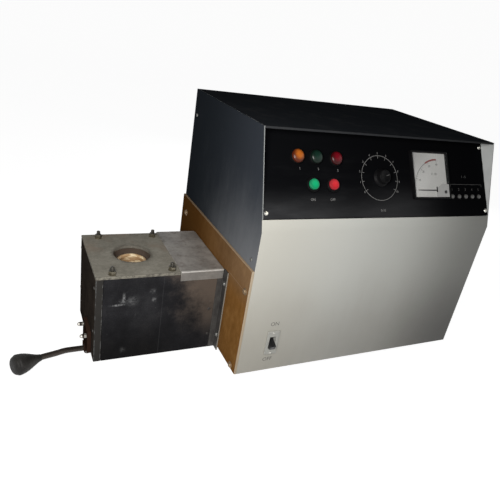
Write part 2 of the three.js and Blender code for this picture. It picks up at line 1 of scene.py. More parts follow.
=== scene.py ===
# %% [markdown]
# # An electric gold melting furnace
# A bench furnace for a goldsmith: a sheet metal cabinet holds the inverter, and a box of heat-proof
# boards on its left side holds the coil and the crucible. The solids, their sizes and their joints come
# packed as a frame. This script keeps every place and size from that frame and gives each piece its
# finish, its rounded edges, its prints and its small hardware.

# %% Load the frame
import math

import bmesh
import bpy
from mathutils import Matrix, Vector


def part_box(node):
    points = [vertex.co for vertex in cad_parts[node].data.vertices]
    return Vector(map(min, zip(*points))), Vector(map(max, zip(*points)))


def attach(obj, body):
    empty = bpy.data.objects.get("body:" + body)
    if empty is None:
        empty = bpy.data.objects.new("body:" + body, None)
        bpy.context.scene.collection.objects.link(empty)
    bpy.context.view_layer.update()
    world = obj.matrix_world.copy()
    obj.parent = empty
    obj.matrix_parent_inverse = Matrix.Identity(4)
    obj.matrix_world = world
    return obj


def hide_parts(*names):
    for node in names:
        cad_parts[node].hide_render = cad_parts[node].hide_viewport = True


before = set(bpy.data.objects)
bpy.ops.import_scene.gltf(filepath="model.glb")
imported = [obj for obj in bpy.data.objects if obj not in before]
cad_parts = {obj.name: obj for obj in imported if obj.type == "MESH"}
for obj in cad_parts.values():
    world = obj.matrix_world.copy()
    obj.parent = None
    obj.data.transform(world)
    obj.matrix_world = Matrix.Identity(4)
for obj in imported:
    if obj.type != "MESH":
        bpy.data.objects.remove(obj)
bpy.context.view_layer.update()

# %% [markdown]
# Two local frames make the rest easy to write. The first starts at the cabinet's front bottom left
# corner, in millimetres, as the furnace was laid out. The second lies on the control panel, which slopes
# back under the hood that the sides and the top make: u runs to the right, v up the slope and w out of
# it. A piece is modelled in one of them, and a matrix puts its mesh in the frame, so every finished
# object stays at the origin.

# %% Local frames
MM = 0.001
GAP = 0.3
BEND_HEIGHT = 326
FRONT_TOP = 349
HOOD_FRONT = 62
PANEL_FOOT_Y, PANEL_FOOT_Z = 8, 350
PANEL_HEAD_Y = 103.2

corner = Vector(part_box("front_panel")[0])
cabinet_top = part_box("right_side_panel")[1]
CABINET_WIDTH = (cabinet_top[0] - corner.x) / MM
CABINET_HEIGHT = (cabinet_top[2] - corner.z) / MM
CABINET_DEPTH = (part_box("rear_panel")[1][1] - corner.y) / MM
RISE = CABINET_HEIGHT - PANEL_FOOT_Z
RUN = PANEL_HEAD_Y - PANEL_FOOT_Y
SLOPE_LENGTH = math.hypot(RISE, RUN)
IN_CABINET = Matrix.Translation(corner) @ Matrix.Scale(MM, 4)
ON_PANEL = (
    Matrix.Translation(IN_CABINET @ Vector((0, PANEL_FOOT_Y, PANEL_FOOT_Z)))
    @ Matrix.Rotation(math.atan2(RISE, RUN), 4, "X")
    @ Matrix.Scale(MM, 4)
)
sizes = [round(size) for size in (CABINET_WIDTH, CABINET_DEPTH, CABINET_HEIGHT)]
print("cabinet of", sizes, "mm, slope of", round(SLOPE_LENGTH), "mm")


def local_box(node):
    """A node's lowest and highest corners in millimetres from the cabinet's corner."""
    back = IN_CABINET.inverted()
    return [back @ Vector(c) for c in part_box(node)]


# %% [markdown]
# The camera stands where the photographer stood: in front, to the left and above, and rolled a little.
# Its place and angles were worked out from the cabinet's corners in the picture, so it is set by them and
# isn't aimed at anything.

# %% Camera
CAMERA_PLACE = (-417.68, -730.33, 670.95)
CAMERA_YAW = math.radians(28.6402)
CAMERA_PITCH = math.radians(24.4243)
CAMERA_ROLL = math.radians(-9.9962)
FOCAL_PIXELS = 494.824
PICTURE_SIDE = 500
SENSOR = 36.0

scene = bpy.context.scene
ahead = Vector(
    (
        math.sin(CAMERA_YAW) * math.cos(CAMERA_PITCH),
        math.cos(CAMERA_YAW) * math.cos(CAMERA_PITCH),
        -math.sin(CAMERA_PITCH),
    )
)
level = Vector((math.cos(CAMERA_YAW), -math.sin(CAMERA_YAW), 0))
down = ahead.cross(level)
right = math.cos(CAMERA_ROLL) * level + math.sin(CAMERA_ROLL) * down
below = math.cos(CAMERA_ROLL) * down - math.sin(CAMERA_ROLL) * level
camera_data = bpy.data.cameras.new("photo_camera")
camera_data.sensor_width = SENSOR
camera_data.lens = FOCAL_PIXELS * SENSOR / PICTURE_SIDE
camera_data.clip_start = 0.01
camera = bpy.data.objects.new("photo_camera", camera_data)
scene.collection.objects.link(camera)
axes = Matrix((right, -below, -ahead)).transposed().to_4x4()
camera.matrix_world = Matrix.Translation(IN_CABINET @ Vector(CAMERA_PLACE)) @ axes
scene.camera = camera
print("camera at", [round(v, 3) for v in camera.matrix_world.translation])
print("lens of", round(camera_data.lens, 2), "mm")

# %% [markdown]
# ## A small language for materials
# A shader is arithmetic on sockets. `Value` wraps one socket, so that `1 - mask * 0.3` adds the Math
# nodes by itself. `Paint` is one material: it adds any other node, blends colours and ends in a
# Principled shader.


# %% Shader values and paints
class Value:
    """One socket of a shader tree, with arithmetic."""

    def __init__(self, paint, socket):
        self.paint = paint
        self.socket = socket

    def math(self, operation, *others):
        return self.paint.node("ShaderNodeMath", {"operation": operation}, [self, *others])

    def __add__(self, other):
        return self.math("ADD", other)

    __radd__ = __add__

    def __sub__(self, other):
        return self.math("SUBTRACT", other)

    def __rsub__(self, other):
        return self.paint.node("ShaderNodeMath", {"operation": "SUBTRACT"}, [other, self])

    def __mul__(self, other):
        return self.math("MULTIPLY", other)

    __rmul__ = __mul__

    def between(self, low, high):
        """0 below low, 1 above high, and a smooth step from one to the other."""
        settings = {"interpolation_type": "SMOOTHSTEP"}
        inputs = {"Value": self, "From Min": low, "From Max": high}
        return self.paint.node("ShaderNodeMapRange", settings, inputs)

    def near(self, middle, reach):
        """1 at the middle and 0 at reach away from it."""
        return 1 - (self - middle).math("ABSOLUTE").between(0, reach)


class Paint:
    """A material under construction."""

    def __init__(self, name, **constants):
        self.material = bpy.data.materials.new(name)
        self.material.use_nodes = True
        self.tree = self.material.node_tree
        self.shader = self.tree.nodes["Principled BSDF"]
        for socket, value in constants.items():
            self.shader.inputs[socket.replace("_", " ")].default_value = value
        self.place = self.node("ShaderNodeTexCoord", {}, {}, "Object")
        split = self.node("ShaderNodeSeparateXYZ", {}, [self.place]).socket.node
        corner_mm = corner / MM
        self.x, self.y, self.z = (
            Value(self, split.outputs[i]) * (1 / MM) - corner_mm[i] for i in range(3)
        )

    def node(self, kind, settings, inputs, output=0):
        """Any node: its settings come first, then the values or links of its sockets."""
        made = self.tree.nodes.new(kind)
        for name, value in settings.items():
            if name == "stops":
                self.set_stops(made.color_ramp, value)
            else:
                setattr(made, name, value)
        pairs = inputs.items() if isinstance(inputs, dict) else enumerate(inputs)
        for key, value in pairs:
            self.feed(made.inputs[key], value)
        return Value(self, made.outputs[output])

    def feed(self, socket, value):
        if isinstance(value, Value):
            self.tree.links.new(value.socket, socket)
        else:
            socket.default_value = value

    @staticmethod
    def set_stops(ramp, stops):
        while len(ramp.elements) < len(stops):
            ramp.elements.new(0.5)
        for element, (position, colour) in zip(ramp.elements, stops):
            element.position = position
            element.color = (*colour, 1)

    def noise(self, size, detail=4, roughness=0.55, stretch=(1, 1, 1), shift=0):
        """Noise with lumps about size millimetres across, longer along an axis by its stretch."""
        scale = [1 / (size * MM * s) for s in stretch]
        mapping = {"Vector": self.place, "Scale": scale, "Location": (shift, shift, shift)}
        moved = self.node("ShaderNodeMapping", {}, mapping)
        inputs = {"Vector": moved, "Scale": 1.0, "Detail": detail, "Roughness": roughness}
        return self.node("ShaderNodeTexNoise", {"noise_dimensions": "3D"}, inputs)

    def cells(self, size):
        """Round cells about size millimetres across, 0 at each middle."""
        moved = self.node("ShaderNodeMapping", {}, {"Vector": self.place, "Scale": [1 / (size * MM)] * 3})
        return self.node("ShaderNodeTexVoronoi", {"feature": "F1"}, {"Vector": moved, "Scale": 1.0})

    def blend(self, mask, low, high):
        """A colour that goes from low to high as mask goes from 0 to 1."""
        low, high = (c if isinstance(c, Value) else (*c, 1) for c in (low, high))
        mixed = self.tree.nodes.new("ShaderNodeMix")
        mixed.data_type = "RGBA"
        for index, value in ((0, mask), (6, low), (7, high)):
            self.feed(mixed.inputs[index], value)
        return Value(self, mixed.outputs[2])

    def ramp(self, value, stops):
        return self.node("ShaderNodeValToRGB", {"stops": stops}, [value])

    def finish(self, colour, roughness=None, height=None, strength=0.3, distance=0.2, metallic=None):
        """Feeds the shader. height is a bump in the range 0 to 1, distance its depth in millimetres."""
        self.feed(self.shader.inputs["Base Color"], colour if isinstance(colour, Value) else (*colour, 1))
        if roughness is not None:
            self.feed(self.shader.inputs["Roughness"], roughness)
        if metallic is not None:
            self.feed(self.shader.inputs["Metallic"], metallic)
        if height is not None:
            settings = {"Strength": strength, "Distance": distance * MM, "Height": height}
            bump = self.node("ShaderNodeBump", {}, settings)
            self.feed(self.shader.inputs["Normal"], bump)
        return self.material


print("shader language ready")

# %% [markdown]
# ## Finishes
# No surface of the real furnace is one flat colour. Image textures could show its wear, but noise in the
# object's own coordinates stays sharp close up and needs no unwrapping, so every finish is built from
# noise and from masks that say where dirt and wear gather. The masks need a few places, in millimetres
# from the corner.

# %% Places that finishes read
SHEET = 1.5
WELL_X, WELL_Y, MOUTH_RADIUS = -183, 214, 39
RIM_TOP = 173
BOARD_TOP = local_box("insulating_board")[1].z
LID_TOP = local_box("box_top_board")[1].z
COVER_FRONT = local_box("lead_cover")[0].y
COVER_TOP = local_box("lead_cover")[1].z
ANGLE_FRONT = local_box("box_angle_front")[0].y
end_wall_low, end_wall_high = local_box("box_end_wall")
BOX_LEFT, BOX_FRONT, END_WALL_INSIDE = end_wall_low.x, end_wall_low.y, end_wall_high.x
print("box starts at", round(BOX_LEFT), round(BOX_FRONT), "and its lid is at", round(LID_TOP), "mm")

# %% [markdown]
# Stove enamel has an orange-peel ripple a few millimetres wide, faint dust and cloudy wear. The dark
# sheets share that ripple. The side sheets carry painted sheen low at the front and painted shade towards
# the back, and the hood's cut edges show bare metal.


# %% Dark enamels
def orange_peel(paint, wide=3.2, fine=0.9):
    """The ripple of sprayed enamel, as a height."""
    return paint.noise(wide, 2, 0.5) * 0.6 + paint.noise(fine, 2, 0.5) * 0.4


def rear_enamel():
    """Dark paint with cloudy wear and specks of dust."""
    paint = Paint("dark_enamel", Specular_IOR_Level=0.25)
    cloud = paint.noise(160, 3, 0.6)
    smear = paint.noise(45, 5, 0.65, stretch=(1, 1, 3), shift=3)
    speck = paint.noise(1.6, 2, 0.5).between(0.68, 0.8)
    wear = (cloud * 0.5 + smear * 0.5).between(0.42, 0.68) * 0.25 + speck * 0.08
    tone = paint.blend(wear, (0.040, 0.045, 0.052), (0.085, 0.088, 0.092))
    return paint.finish(tone, 0.46 + wear * 0.25 - cloud * 0.05, orange_peel(paint), 0.12, 0.15)


def hood_edge(paint):
    """1 on the cut front edges of the hood's sheets, where the bare metal shows, and 0 elsewhere."""
    hood_rise = CABINET_HEIGHT - BEND_HEIGHT
    slant = math.hypot(hood_rise, HOOD_FRONT)
    behind = (paint.y * hood_rise - (paint.z - BEND_HEIGHT) * HOOD_FRONT) * (1 / slant)
    return (1 - behind.between(0.25, 0.55)) * paint.z.between(FRONT_TOP, FRONT_TOP + 2)


def side_enamel(name, inner, outer):
    """Blue-grey, painted sheen low at the front, painted shade to the back, bare galvanised sheet inside.
    """
    paint = Paint(name, Specular_IOR_Level=0.0)
    cloud = paint.noise(140, 4, 0.6)
    smear = paint.noise(30, 5, 0.7, stretch=(1, 1, 4), shift=5)
    # Painted sheen: the paint is paler low at the front.
    haze = (1 - paint.z.between(190, 480)) * (1 - paint.y.between(0, CABINET_DEPTH))
    wear = haze * 0.8 + (smear - 0.5) * 0.2 + (cloud - 0.5) * 0.25
    scratch = paint.noise(9, 2, 0.5, stretch=(1, 0.12, 3), shift=9).between(0.7, 0.74) * 0.12
    # Painted shade: the paint darkens towards the back.
    dark = paint.blend(paint.y.between(60, 340), (0.037, 0.043, 0.054), (0.024, 0.029, 0.036))
    tone = paint.blend((wear + scratch).between(0, 1), dark, (0.225, 0.235, 0.25))
    zinc = paint.blend(cloud.between(0.35, 0.65), (0.50, 0.52, 0.52), (0.66, 0.68, 0.68))
    through = paint.x.between(min(inner, outer), max(inner, outer))
    if outer < inner:
        bare = through.between(0.6, 0.9)
    else:
        bare = 1 - through.between(0.1, 0.4)
    tone = paint.blend(bare, tone, zinc)
    tone = paint.blend(hood_edge(paint) * 0.8, tone, (0.32, 0.33, 0.33))
    return paint.finish(tone, 0.42 + wear * 0.15, orange_peel(paint), 0.12, 0.15)


def top_enamel():
    """The top sheet: the same dark paint with settled dust, and a bare edge on the lip over the panel."""
    paint = Paint("top_enamel", Specular_IOR_Level=0.0)
    cloud = paint.noise(150, 4, 0.6)
    dust = paint.noise(40, 5, 0.65, shift=6).between(0.45, 0.75)
    speck = paint.noise(1.6, 2, 0.5).between(0.68, 0.8)
    tone = paint.blend(dust * 0.4 + speck * 0.1, (0.026, 0.029, 0.034), (0.055, 0.056, 0.058))
    lip = 1 - (paint.y - HOOD_FRONT).between(0.3, 0.7)
    tone = paint.blend(lip * 0.6, tone, (0.045, 0.046, 0.048))
    return paint.finish(tone, 0.6 + dust * 0.15 - cloud * 0.05, orange_peel(paint), 0.12, 0.15)


DARK_ENAMEL = rear_enamel()
LEFT_ENAMEL = side_enamel("left_enamel", SHEET, 0.0)
RIGHT_ENAMEL = side_enamel("right_enamel", CABINET_WIDTH - SHEET, CABINET_WIDTH)
TOP_ENAMEL = top_enamel()
print("dark enamels:", len(bpy.data.materials))

# %% [markdown]
# The lower front is pale grey enamel with grime in drips and clouds. It is lightest at its upper middle,
# and painted shade darkens it low down and to the right. The sloped panel is a black print, lighter along
# its foot and most of all left of its middle from dust and painted sheen, and painted shade keeps it black
# under the hood's lip.


# %% Front enamel and panel face
def front_enamel():
    """Pale enamel with warm drips of dirt, and painted shade that darkens it low down and to the right."""
    paint = Paint("front_enamel", Specular_IOR_Level=0.35)
    cloud = paint.noise(120, 4, 0.6)
    drip = paint.noise(26, 5, 0.6, stretch=(1, 1, 5), shift=2)
    # Grime in clouds and drips, over painted shade that darkens the sheet towards its foot.
    grime_and_shade = (1 - paint.z.between(0, 330)) * 0.55 + (cloud - 0.5) * 0.35 + (drip - 0.5) * 0.2
    tone = paint.blend(grime_and_shade.between(0, 1), (0.635, 0.645, 0.61), (0.47, 0.452, 0.408))
    speck = paint.noise(1.2, 2, 0.5).between(0.7, 0.8)
    tone = paint.blend(speck * 0.15, tone, (0.3, 0.29, 0.26))
    # Painted shade: darker low down, to the right and a little at the far left.
    low = (1 - paint.z.between(0, 250)) * (paint.x.between(200, 560) * 0.16 + 0.2)
    dull = paint.x.between(330, CABINET_WIDTH) * 0.58 + low + (1 - paint.x.between(0, 200)) * 0.13
    tone = paint.blend(dull, tone, (0.06, 0.058, 0.052))
    warm = (1 - paint.x.between(0, 260)) * 0.3
    tone = paint.blend(warm, tone, (0.52, 0.475, 0.38))
    return paint.finish(tone, 0.38 + (cloud - 0.5) * 0.15, orange_peel(paint, 3.0, 0.8), 0.12, 0.15)


def panel_face():
    """A gloss black printed face with wiping marks, dust, painted sheen low down and painted shade up top.
    """
    paint = Paint("panel_face", Specular_IOR_Level=0.0)
    wipe = paint.noise(30, 5, 0.65, stretch=(5, 1, 1))
    dust = paint.noise(0.9, 2, 0.5).between(0.66, 0.8)
    up = paint.z - PANEL_FOOT_Z
    # Dust and painted sheen lighten the foot of the face, more to the left of it.
    settled = 1 - up.between(0, 70)
    leftward = 1 - paint.x.between(100, 560) * 0.8
    middle = paint.x.near(345, 150) * (1 - up.between(10, 110)) * 0.3
    # Painted shade under the hood's lip keeps the upper face black.
    sooty = 1 - up.between(80, 150) * 0.7
    mask = (wipe.between(0.4, 0.8) * 0.2 + settled * 0.5) * leftward * sooty + middle + dust * 0.1
    tone = paint.blend(mask.between(0, 1), (0.004, 0.0042, 0.005), (0.052, 0.053, 0.056))
    return paint.finish(tone, 0.3 + wipe * 0.12, paint.noise(40, 2), 0.05, 0.4)


FRONT_ENAMEL = front_enamel()
PANEL_FACE = panel_face()
print("sheets have", len(bpy.data.materials), "finishes")

# %% [markdown]
# The big board on the cabinet's side is phenolic laminate. It shows drifting fibre clouds, and its cut
# edges are pale; painted shade darkens its rear. A small bracket of the same laminate is nearly black.


# %% Phenolic laminate
def board_phenolic():
    """The big board: painted shade at the rear, dusty and paler at the front, with a faint rubbed line."""
    paint = Paint("board_phenolic", Specular_IOR_Level=0.0)
    fibre = paint.noise(14, 5, 0.7, stretch=(1, 1, 2.2))
    cloud = paint.noise(60, 4, 0.65, shift=4)
    weave = paint.noise(1.0, 3, 0.6, stretch=(1, 3, 1))
    mask = fibre * 0.45 + cloud * 0.35 + weave * 0.2
    fresh_stops = [
        (0.32, (0.165, 0.072, 0.018)),
        (0.5, (0.24, 0.113, 0.032)),
        (0.68, (0.335, 0.175, 0.056)),
    ]
    fresh = paint.ramp(mask, fresh_stops)
    dusty = paint.ramp(mask, [(0.32, (0.175, 0.115, 0.068)), (0.68, (0.245, 0.165, 0.102))])
    upper = paint.z.between(150, 215) * (1 - paint.y.between(30, 360))
    tone = paint.blend(upper * 0.6, fresh, dusty)
    # Painted shade: darker and warmer towards the rear.
    tone = paint.blend(paint.y.between(150, 330) * 0.8, tone, (0.115, 0.048, 0.011))
    # A darker band just in front of the box, strongest low down.
    soot = paint.y.between(70, 115) * (1 - paint.z.between(60, 240) * 0.6)
    tone = paint.blend(soot * 0.45, tone, (0.06, 0.028, 0.010))
    rub = paint.z.near(193, 1.4) * (1 - paint.y.between(96, 112)) * 0.35
    cut_edge = 1 - paint.y.between(0.6, 2.4) + paint.z.between(BOARD_TOP - 1.8, BOARD_TOP - 0.4) * 0.5
    tone = paint.blend((rub + cut_edge * 0.85).between(0, 1), tone, (0.50, 0.41, 0.30))
    return paint.finish(tone, 0.34 + fibre * 0.2, fibre * 0.6 + weave * 0.4, 0.15, 0.15)


def bracket_phenolic():
    """The bracket under the end wall: the same laminate, nearly black."""
    paint = Paint("bracket_phenolic", Specular_IOR_Level=0.0)
    fibre = paint.noise(14, 5, 0.7, stretch=(1, 1, 2.2))
    cloud = paint.noise(70, 4, 0.6, shift=4)
    weave = paint.noise(1.1, 3, 0.6, stretch=(1, 3, 1))
    mask = fibre * 0.45 + cloud * 0.4 + weave * 0.15
    stops = [(0.3, (0.022, 0.012, 0.009)), (0.52, (0.04, 0.0215, 0.0155)), (0.72, (0.058, 0.031, 0.022))]
    tone = paint.ramp(mask, stops)
    return paint.finish(tone, 0.3 + fibre * 0.2, fibre * 0.6 + weave * 0.4, 0.15, 0.15)


BOARD_PHENOLIC = board_phenolic()
BRACKET_PHENOLIC = bracket_phenolic()
print("laminates:", BOARD_PHENOLIC.name, BRACKET_PHENOLIC.name)

# %% [markdown]
# The melting box is made of pressed mineral boards. The front wall is slate-like and dark, with chalky
# scuffs where tools knock it, and it is baked brown where the coil leads heat it. The end wall is
# browner, and its sawn edge shows at the front. The lid is mottled cement board, pitted, with a sooty
# ring round the mouth.

# %% Scuffs
# Each scuff is its middle along X and Z, its reach across and up, and its strength.
SCUFFS = [
    (-230, 121, 20, 4.0, 0.75),
    (-217, 136, 5, 19, 0.75),
    (-222, 128, 12, 12, 0.3),
    (-200, 128, 22, 20, 0.38),
    (-159, 148, 11, 10, 0.4),
    (-155, 127, 8, 10, 0.55),
    (-214, 10, 11, 13, 0.4),
    (-190, 60, 60, 50, 0.05),
]


# %% Mineral boards
def mineral_board(name, scuffed):
    """Dark mineral board. The front wall carries chalky scuffs and a baked brown patch near the leads."""
    paint = Paint(name, Specular_IOR_Level=0.0)
    cloud = paint.noise(55, 5, 0.65)
    grain = paint.noise(2.2, 4, 0.7)
    fine = paint.noise(0.7, 2, 0.5)
    stops = [(0.3, (0.011, 0.011, 0.012)), (0.5, (0.022, 0.022, 0.0245)), (0.75, (0.05, 0.05, 0.054))]
    tone = paint.ramp(cloud * 0.6 + grain * 0.4, stops)
    if scuffed:
        warmth = (paint.x + (cloud - 0.5) * 160).between(-165, -20)
        baked = warmth * (paint.z.between(0, 130) * 0.8 + 0.2) * (0.4 + cloud * 1.1)
        tone = paint.blend(baked.between(0.1, 1.0) * 0.85, tone, (0.130, 0.102, 0.082))
        low_stain = (1 - paint.z.between(0, 110)) * cloud.between(0.45, 0.7) * 0.4
        tone = paint.blend(low_stain, tone, (0.020, 0.017, 0.014))
        broken = paint.noise(5, 4, 0.75, shift=7).between(0.36, 0.58)
        marks = paint.noise(7, 2, 0.5, shift=11).between(0.7, 0.76) * 0.2
        for x, z, across, up, strength in SCUFFS:
            marks = marks + paint.x.near(x, across) * paint.z.near(z, up) * strength
        tone = paint.blend((marks * (0.25 + broken * 0.9)).between(0, 1), tone, (0.25, 0.255, 0.26))
        shade = (1 - paint.z.between(0, 100)) * (1 - paint.x.between(-160, -70)) * 0.6
        tone = paint.blend(shade, tone, (0.006, 0.006, 0.006))
        seam = paint.x.near(-137, 1.2) * 0.25
        tone = paint.blend(seam, tone, (0.09, 0.09, 0.095))
    return paint.finish(tone, 0.55 + grain * 0.2, grain * 0.6 + fine * 0.4, 0.35, 0.3)


def end_board():
    """The end wall is baked brown outside; its sawn front edge has painted highlights along both corners.
    """
    paint = Paint("end_board", Specular_IOR_Level=0.0)
    cloud = paint.noise(40, 5, 0.65)
    grain = paint.noise(2.2, 4, 0.7)
    baked = [(0.3, (0.028, 0.024, 0.021)), (0.7, (0.095, 0.076, 0.063))]
    tone = paint.ramp(cloud * 0.6 + grain * 0.4, baked)
    sawn = 1 - (paint.y - BOX_FRONT).between(0.3, 1.2)
    tone = paint.blend(sawn * 0.85, tone, (0.036, 0.036, 0.035))
    # Painted highlights along both corners of the sawn edge, broken into dashes.
    corners = paint.x.near(BOX_LEFT + 1.2, 1.8) * 0.7 + paint.x.near(END_WALL_INSIDE - 1.2, 1.3)
    chipped = paint.noise(9, 3, 0.7, stretch=(1, 1, 1.6), shift=4).between(0.40, 0.60)
    tone = paint.blend((sawn * corners * chipped).between(0, 1) * 0.8, tone, (0.17, 0.175, 0.175))
    return paint.finish(tone, 0.55 + grain * 0.2, grain, 0.35, 0.3)


SCUFFED_BOARD = mineral_board("scuffed_board", True)
PLAIN_BOARD = mineral_board("plain_board", False)
END_BOARD = end_board()
print("scuffs on the front wall:", len(SCUFFS))


# %% Cement board
def from_well(paint):
    """The distance from the crucible's axis, in millimetres."""
    across = paint.x - WELL_X
    along = paint.y - WELL_Y
    return (across * across + along * along).math("SQRT")


def cement_board():
    """Fibre cement under the crucible's mouth: mottled grey-brown, with a sooty ring round the hole."""
    paint = Paint("cement_board", Specular_IOR_Level=0.05)
    cloud = paint.noise(48, 5, 0.7)
    spots = paint.noise(7, 4, 0.7, shift=6)
    grain = paint.noise(1.3, 3, 0.6)
    stops = [(0.32, (0.16, 0.15, 0.125)), (0.5, (0.27, 0.255, 0.215)), (0.68, (0.38, 0.36, 0.31))]
    tone = paint.ramp(cloud * 0.5 + spots * 0.3 + grain * 0.2, stops)
    warm = paint.noise(60, 3, 0.6, shift=8).between(0.45, 0.65) * paint.y.between(150, 260)
    tone = paint.blend(warm * 0.45, tone, (0.28, 0.21, 0.16))
    worn = (1 - (paint.y - BOX_FRONT).between(0.5, 5)) * (spots * 0.7 + cloud * 0.3).between(0.42, 0.6)
    tone = paint.blend(worn * 0.7, tone, (0.05, 0.046, 0.04))
    ragged = from_well(paint) + (spots - 0.5) * 12
    soot = 1 - ragged.between(MOUTH_RADIUS - 1, MOUTH_RADIUS + 9)
    tone = paint.blend(soot * 0.5, tone, (0.06, 0.05, 0.042))
    pits = paint.cells(2.4).between(0.0, 0.35)
    return paint.finish(tone, 0.85 - spots * 0.15, grain * 0.4 + pits * 0.6, 0.5, 0.35)


CEMENT_BOARD = cement_board()
print("sooty ring outside", MOUTH_RADIUS, "mm from the well's axis")

# %% [markdown]
# Metals differ in how they were worked. The cover over the leads is rolled steel with a heat haze and a
# folded flange in front; painted shade darkens the flange and a painted highlight runs along the fold. The
# mounting angle is black with a painted highlight on its edge. The nuts on the lid are brassy with
# handling.


# %% Sheet steel and angle
def rolled_steel(name, dark, light, metal, roughness):
    """Steel with rolling marks along X, a heat haze and spots of rust."""
    paint = Paint(name, Specular_IOR_Level=0.5)
    roll = paint.noise(2.4, 4, 0.6, stretch=(14, 1, 1))
    haze = paint.noise(48, 5, 0.65, shift=3)
    rust = paint.noise(16, 5, 0.7, shift=12).between(0.6, 0.75)
    tone = paint.blend((roll * 0.35 + haze * 0.65).between(0.36, 0.64), dark, light)
    tone = paint.blend(rust * 0.35, tone, (0.12, 0.075, 0.045))
    return paint.finish(tone, roughness + haze * 0.2 + rust * 0.2, roll, 0.15, 0.1, metal - rust * 0.5)


def cover_steel():
    """The lead cover: haze, brown stains, painted shade on flange and rear, a painted highlight on the
    bend.
    """
    paint = Paint("cover_steel", Specular_IOR_Level=0.5)
    roll = paint.noise(2.4, 4, 0.6, stretch=(14, 1, 1))
    haze = paint.noise(40, 5, 0.7, shift=3)
    stain = paint.noise(20, 5, 0.75, shift=12).between(0.48, 0.64)
    behind = paint.y - COVER_FRONT
    flange = 1 - behind.between(-0.2, 1.8)
    mottle = (roll * 0.2 + haze * 0.8).between(0.36, 0.64)
    tone = paint.blend(mottle, (0.27, 0.25, 0.23), (0.44, 0.415, 0.385))
    tone = paint.blend(stain * (0.45 - flange * 0.3), tone, (0.12, 0.095, 0.08))
    # Painted shade on the rear left of the top.
    rear = paint.y.between(190, 300) * (1 - paint.x.between(-100, -50)) * 0.5
    tone = paint.blend(rear, tone, (0.10, 0.098, 0.09))
    # Painted shade on the front flange.
    tone = paint.blend(flange * 0.5, tone, (0.08, 0.078, 0.072))
    # Painted highlight along the fold.
    fold_highlight = paint.z.between(COVER_TOP - 3.5, COVER_TOP - 1) * (1 - behind.between(2.8, 5.3))
    tone = paint.blend(fold_highlight * 0.75, tone, (0.75, 0.73, 0.69))
    return paint.finish(tone, 0.4 + haze * 0.2 + stain * 0.15, roll, 0.15, 0.1, 0.4 - stain * 0.25)


def angle_steel():
    """The outstanding leg's edge faces forward and carries a painted highlight."""
    paint = Paint("angle_steel", Specular_IOR_Level=0.3)
    roll = paint.noise(2.4, 4, 0.6, stretch=(1, 1, 12))
    haze = paint.noise(30, 5, 0.65, shift=3)
    mottle = (roll * 0.4 + haze * 0.6).between(0.3, 0.7)
    tone = paint.blend(mottle, (0.035, 0.033, 0.032), (0.09, 0.085, 0.08))
    # Painted highlight along the leg's front edge.
    rubbed = 1 - (paint.y - ANGLE_FRONT).between(0.4, 1.2)
    tone = paint.blend(rubbed * (0.6 + haze * 0.6).between(0, 1), tone, (0.27, 0.24, 0.20))
    return paint.finish(tone, 0.5 + haze * 0.2, roll, 0.15, 0.1, 0.4 - rubbed * 0.3)


COVER_STEEL = cover_steel()
ANGLE_STEEL = angle_steel()
BARE_STEEL = rolled_steel("bare_steel", (0.2, 0.195, 0.185), (0.34, 0.33, 0.31), 0.85, 0.3)
CORE_IRON = rolled_steel("core_iron", (0.05, 0.045, 0.04), (0.1, 0.095, 0.09), 0.5, 0.5)
print("cover's fold is at", round(COVER_TOP, 1), "mm")

# %% [markdown]
# Hardware is small, so its finish has to read at a glance: each stud stands dark with soot out of a
# brassy nut, and the bracket's brown bolts end in domed nuts with painted highlights. The lever is oily
# black bar.

# %% Hardware
STUD_SOOT_FROM = LID_TOP + 7.6
BASE_NUT_X, DOME_X = -286.4, -290


def stud_brass():
    """Nuts are brassy with handling, and the stud that stands out of each is dark with soot."""
    paint = Paint("stud_brass", Specular_IOR_Level=0.5)
    smear = paint.noise(5, 4, 0.6)
    soot = paint.z.between(STUD_SOOT_FROM, STUD_SOOT_FROM + 0.6)
    tone = paint.blend(smear.between(0.35, 0.7), (0.25, 0.225, 0.165), (0.13, 0.115, 0.085))
    tone = paint.blend(soot * 0.85, tone, (0.04, 0.038, 0.034))
    return paint.finish(tone, 0.28 + smear * 0.2, smear, 0.1, 0.05, 0.8 - soot * 0.3)


def domed_bolt():
    """A long bolt: brown and dull on the shank, with painted highlights on the base nut and the domed nut.
    """
    paint = Paint("domed_bolt", Specular_IOR_Level=0.4)
    smear = paint.noise(5, 4, 0.6)
    # Painted highlights: strong on the domed nut, fainter on the base nut.
    dome = 1 - (paint.x - DOME_X).between(-0.4, 0.4)
    nut_highlight = dome + (paint.x - BASE_NUT_X).between(-0.4, 0.4) * 0.6
    tone = paint.blend(smear.between(0.35, 0.7), (0.06, 0.04, 0.028), (0.03, 0.02, 0.014))
    tone = paint.blend(nut_highlight * 0.95, tone, (0.58, 0.56, 0.52))
    return paint.finish(tone, 0.3 + smear * 0.2, smear, 0.1, 0.05, 0.4 + nut_highlight * 0.4)


def plated(name, colour, roughness):
    """Bright metal with smears that dull it in places."""
    paint = Paint(name, Specular_IOR_Level=0.5)
    smear = paint.noise(6, 4, 0.6)
    fine = paint.noise(0.5, 2, 0.5)
    tone = paint.blend(smear.between(0.35, 0.75) * 0.4, colour, [c * 0.6 for c in colour])
    return paint.finish(tone, roughness + smear * 0.15, fine, 0.08, 0.04, 0.95)


def black_rod():
    """Black bar with drawing marks along it."""
    paint = Paint("black_rod", Specular_IOR_Level=0.5)
    drawn = paint.noise(1.5, 4, 0.6, stretch=(18, 1, 1))
    haze = paint.noise(20, 4, 0.6, shift=3)
    tone = paint.blend(drawn * 0.5 + haze * 0.5, (0.022, 0.018, 0.015), (0.075, 0.06, 0.05))
    return paint.finish(tone, 0.38 + haze * 0.25, drawn, 0.2, 0.08, 0.6)


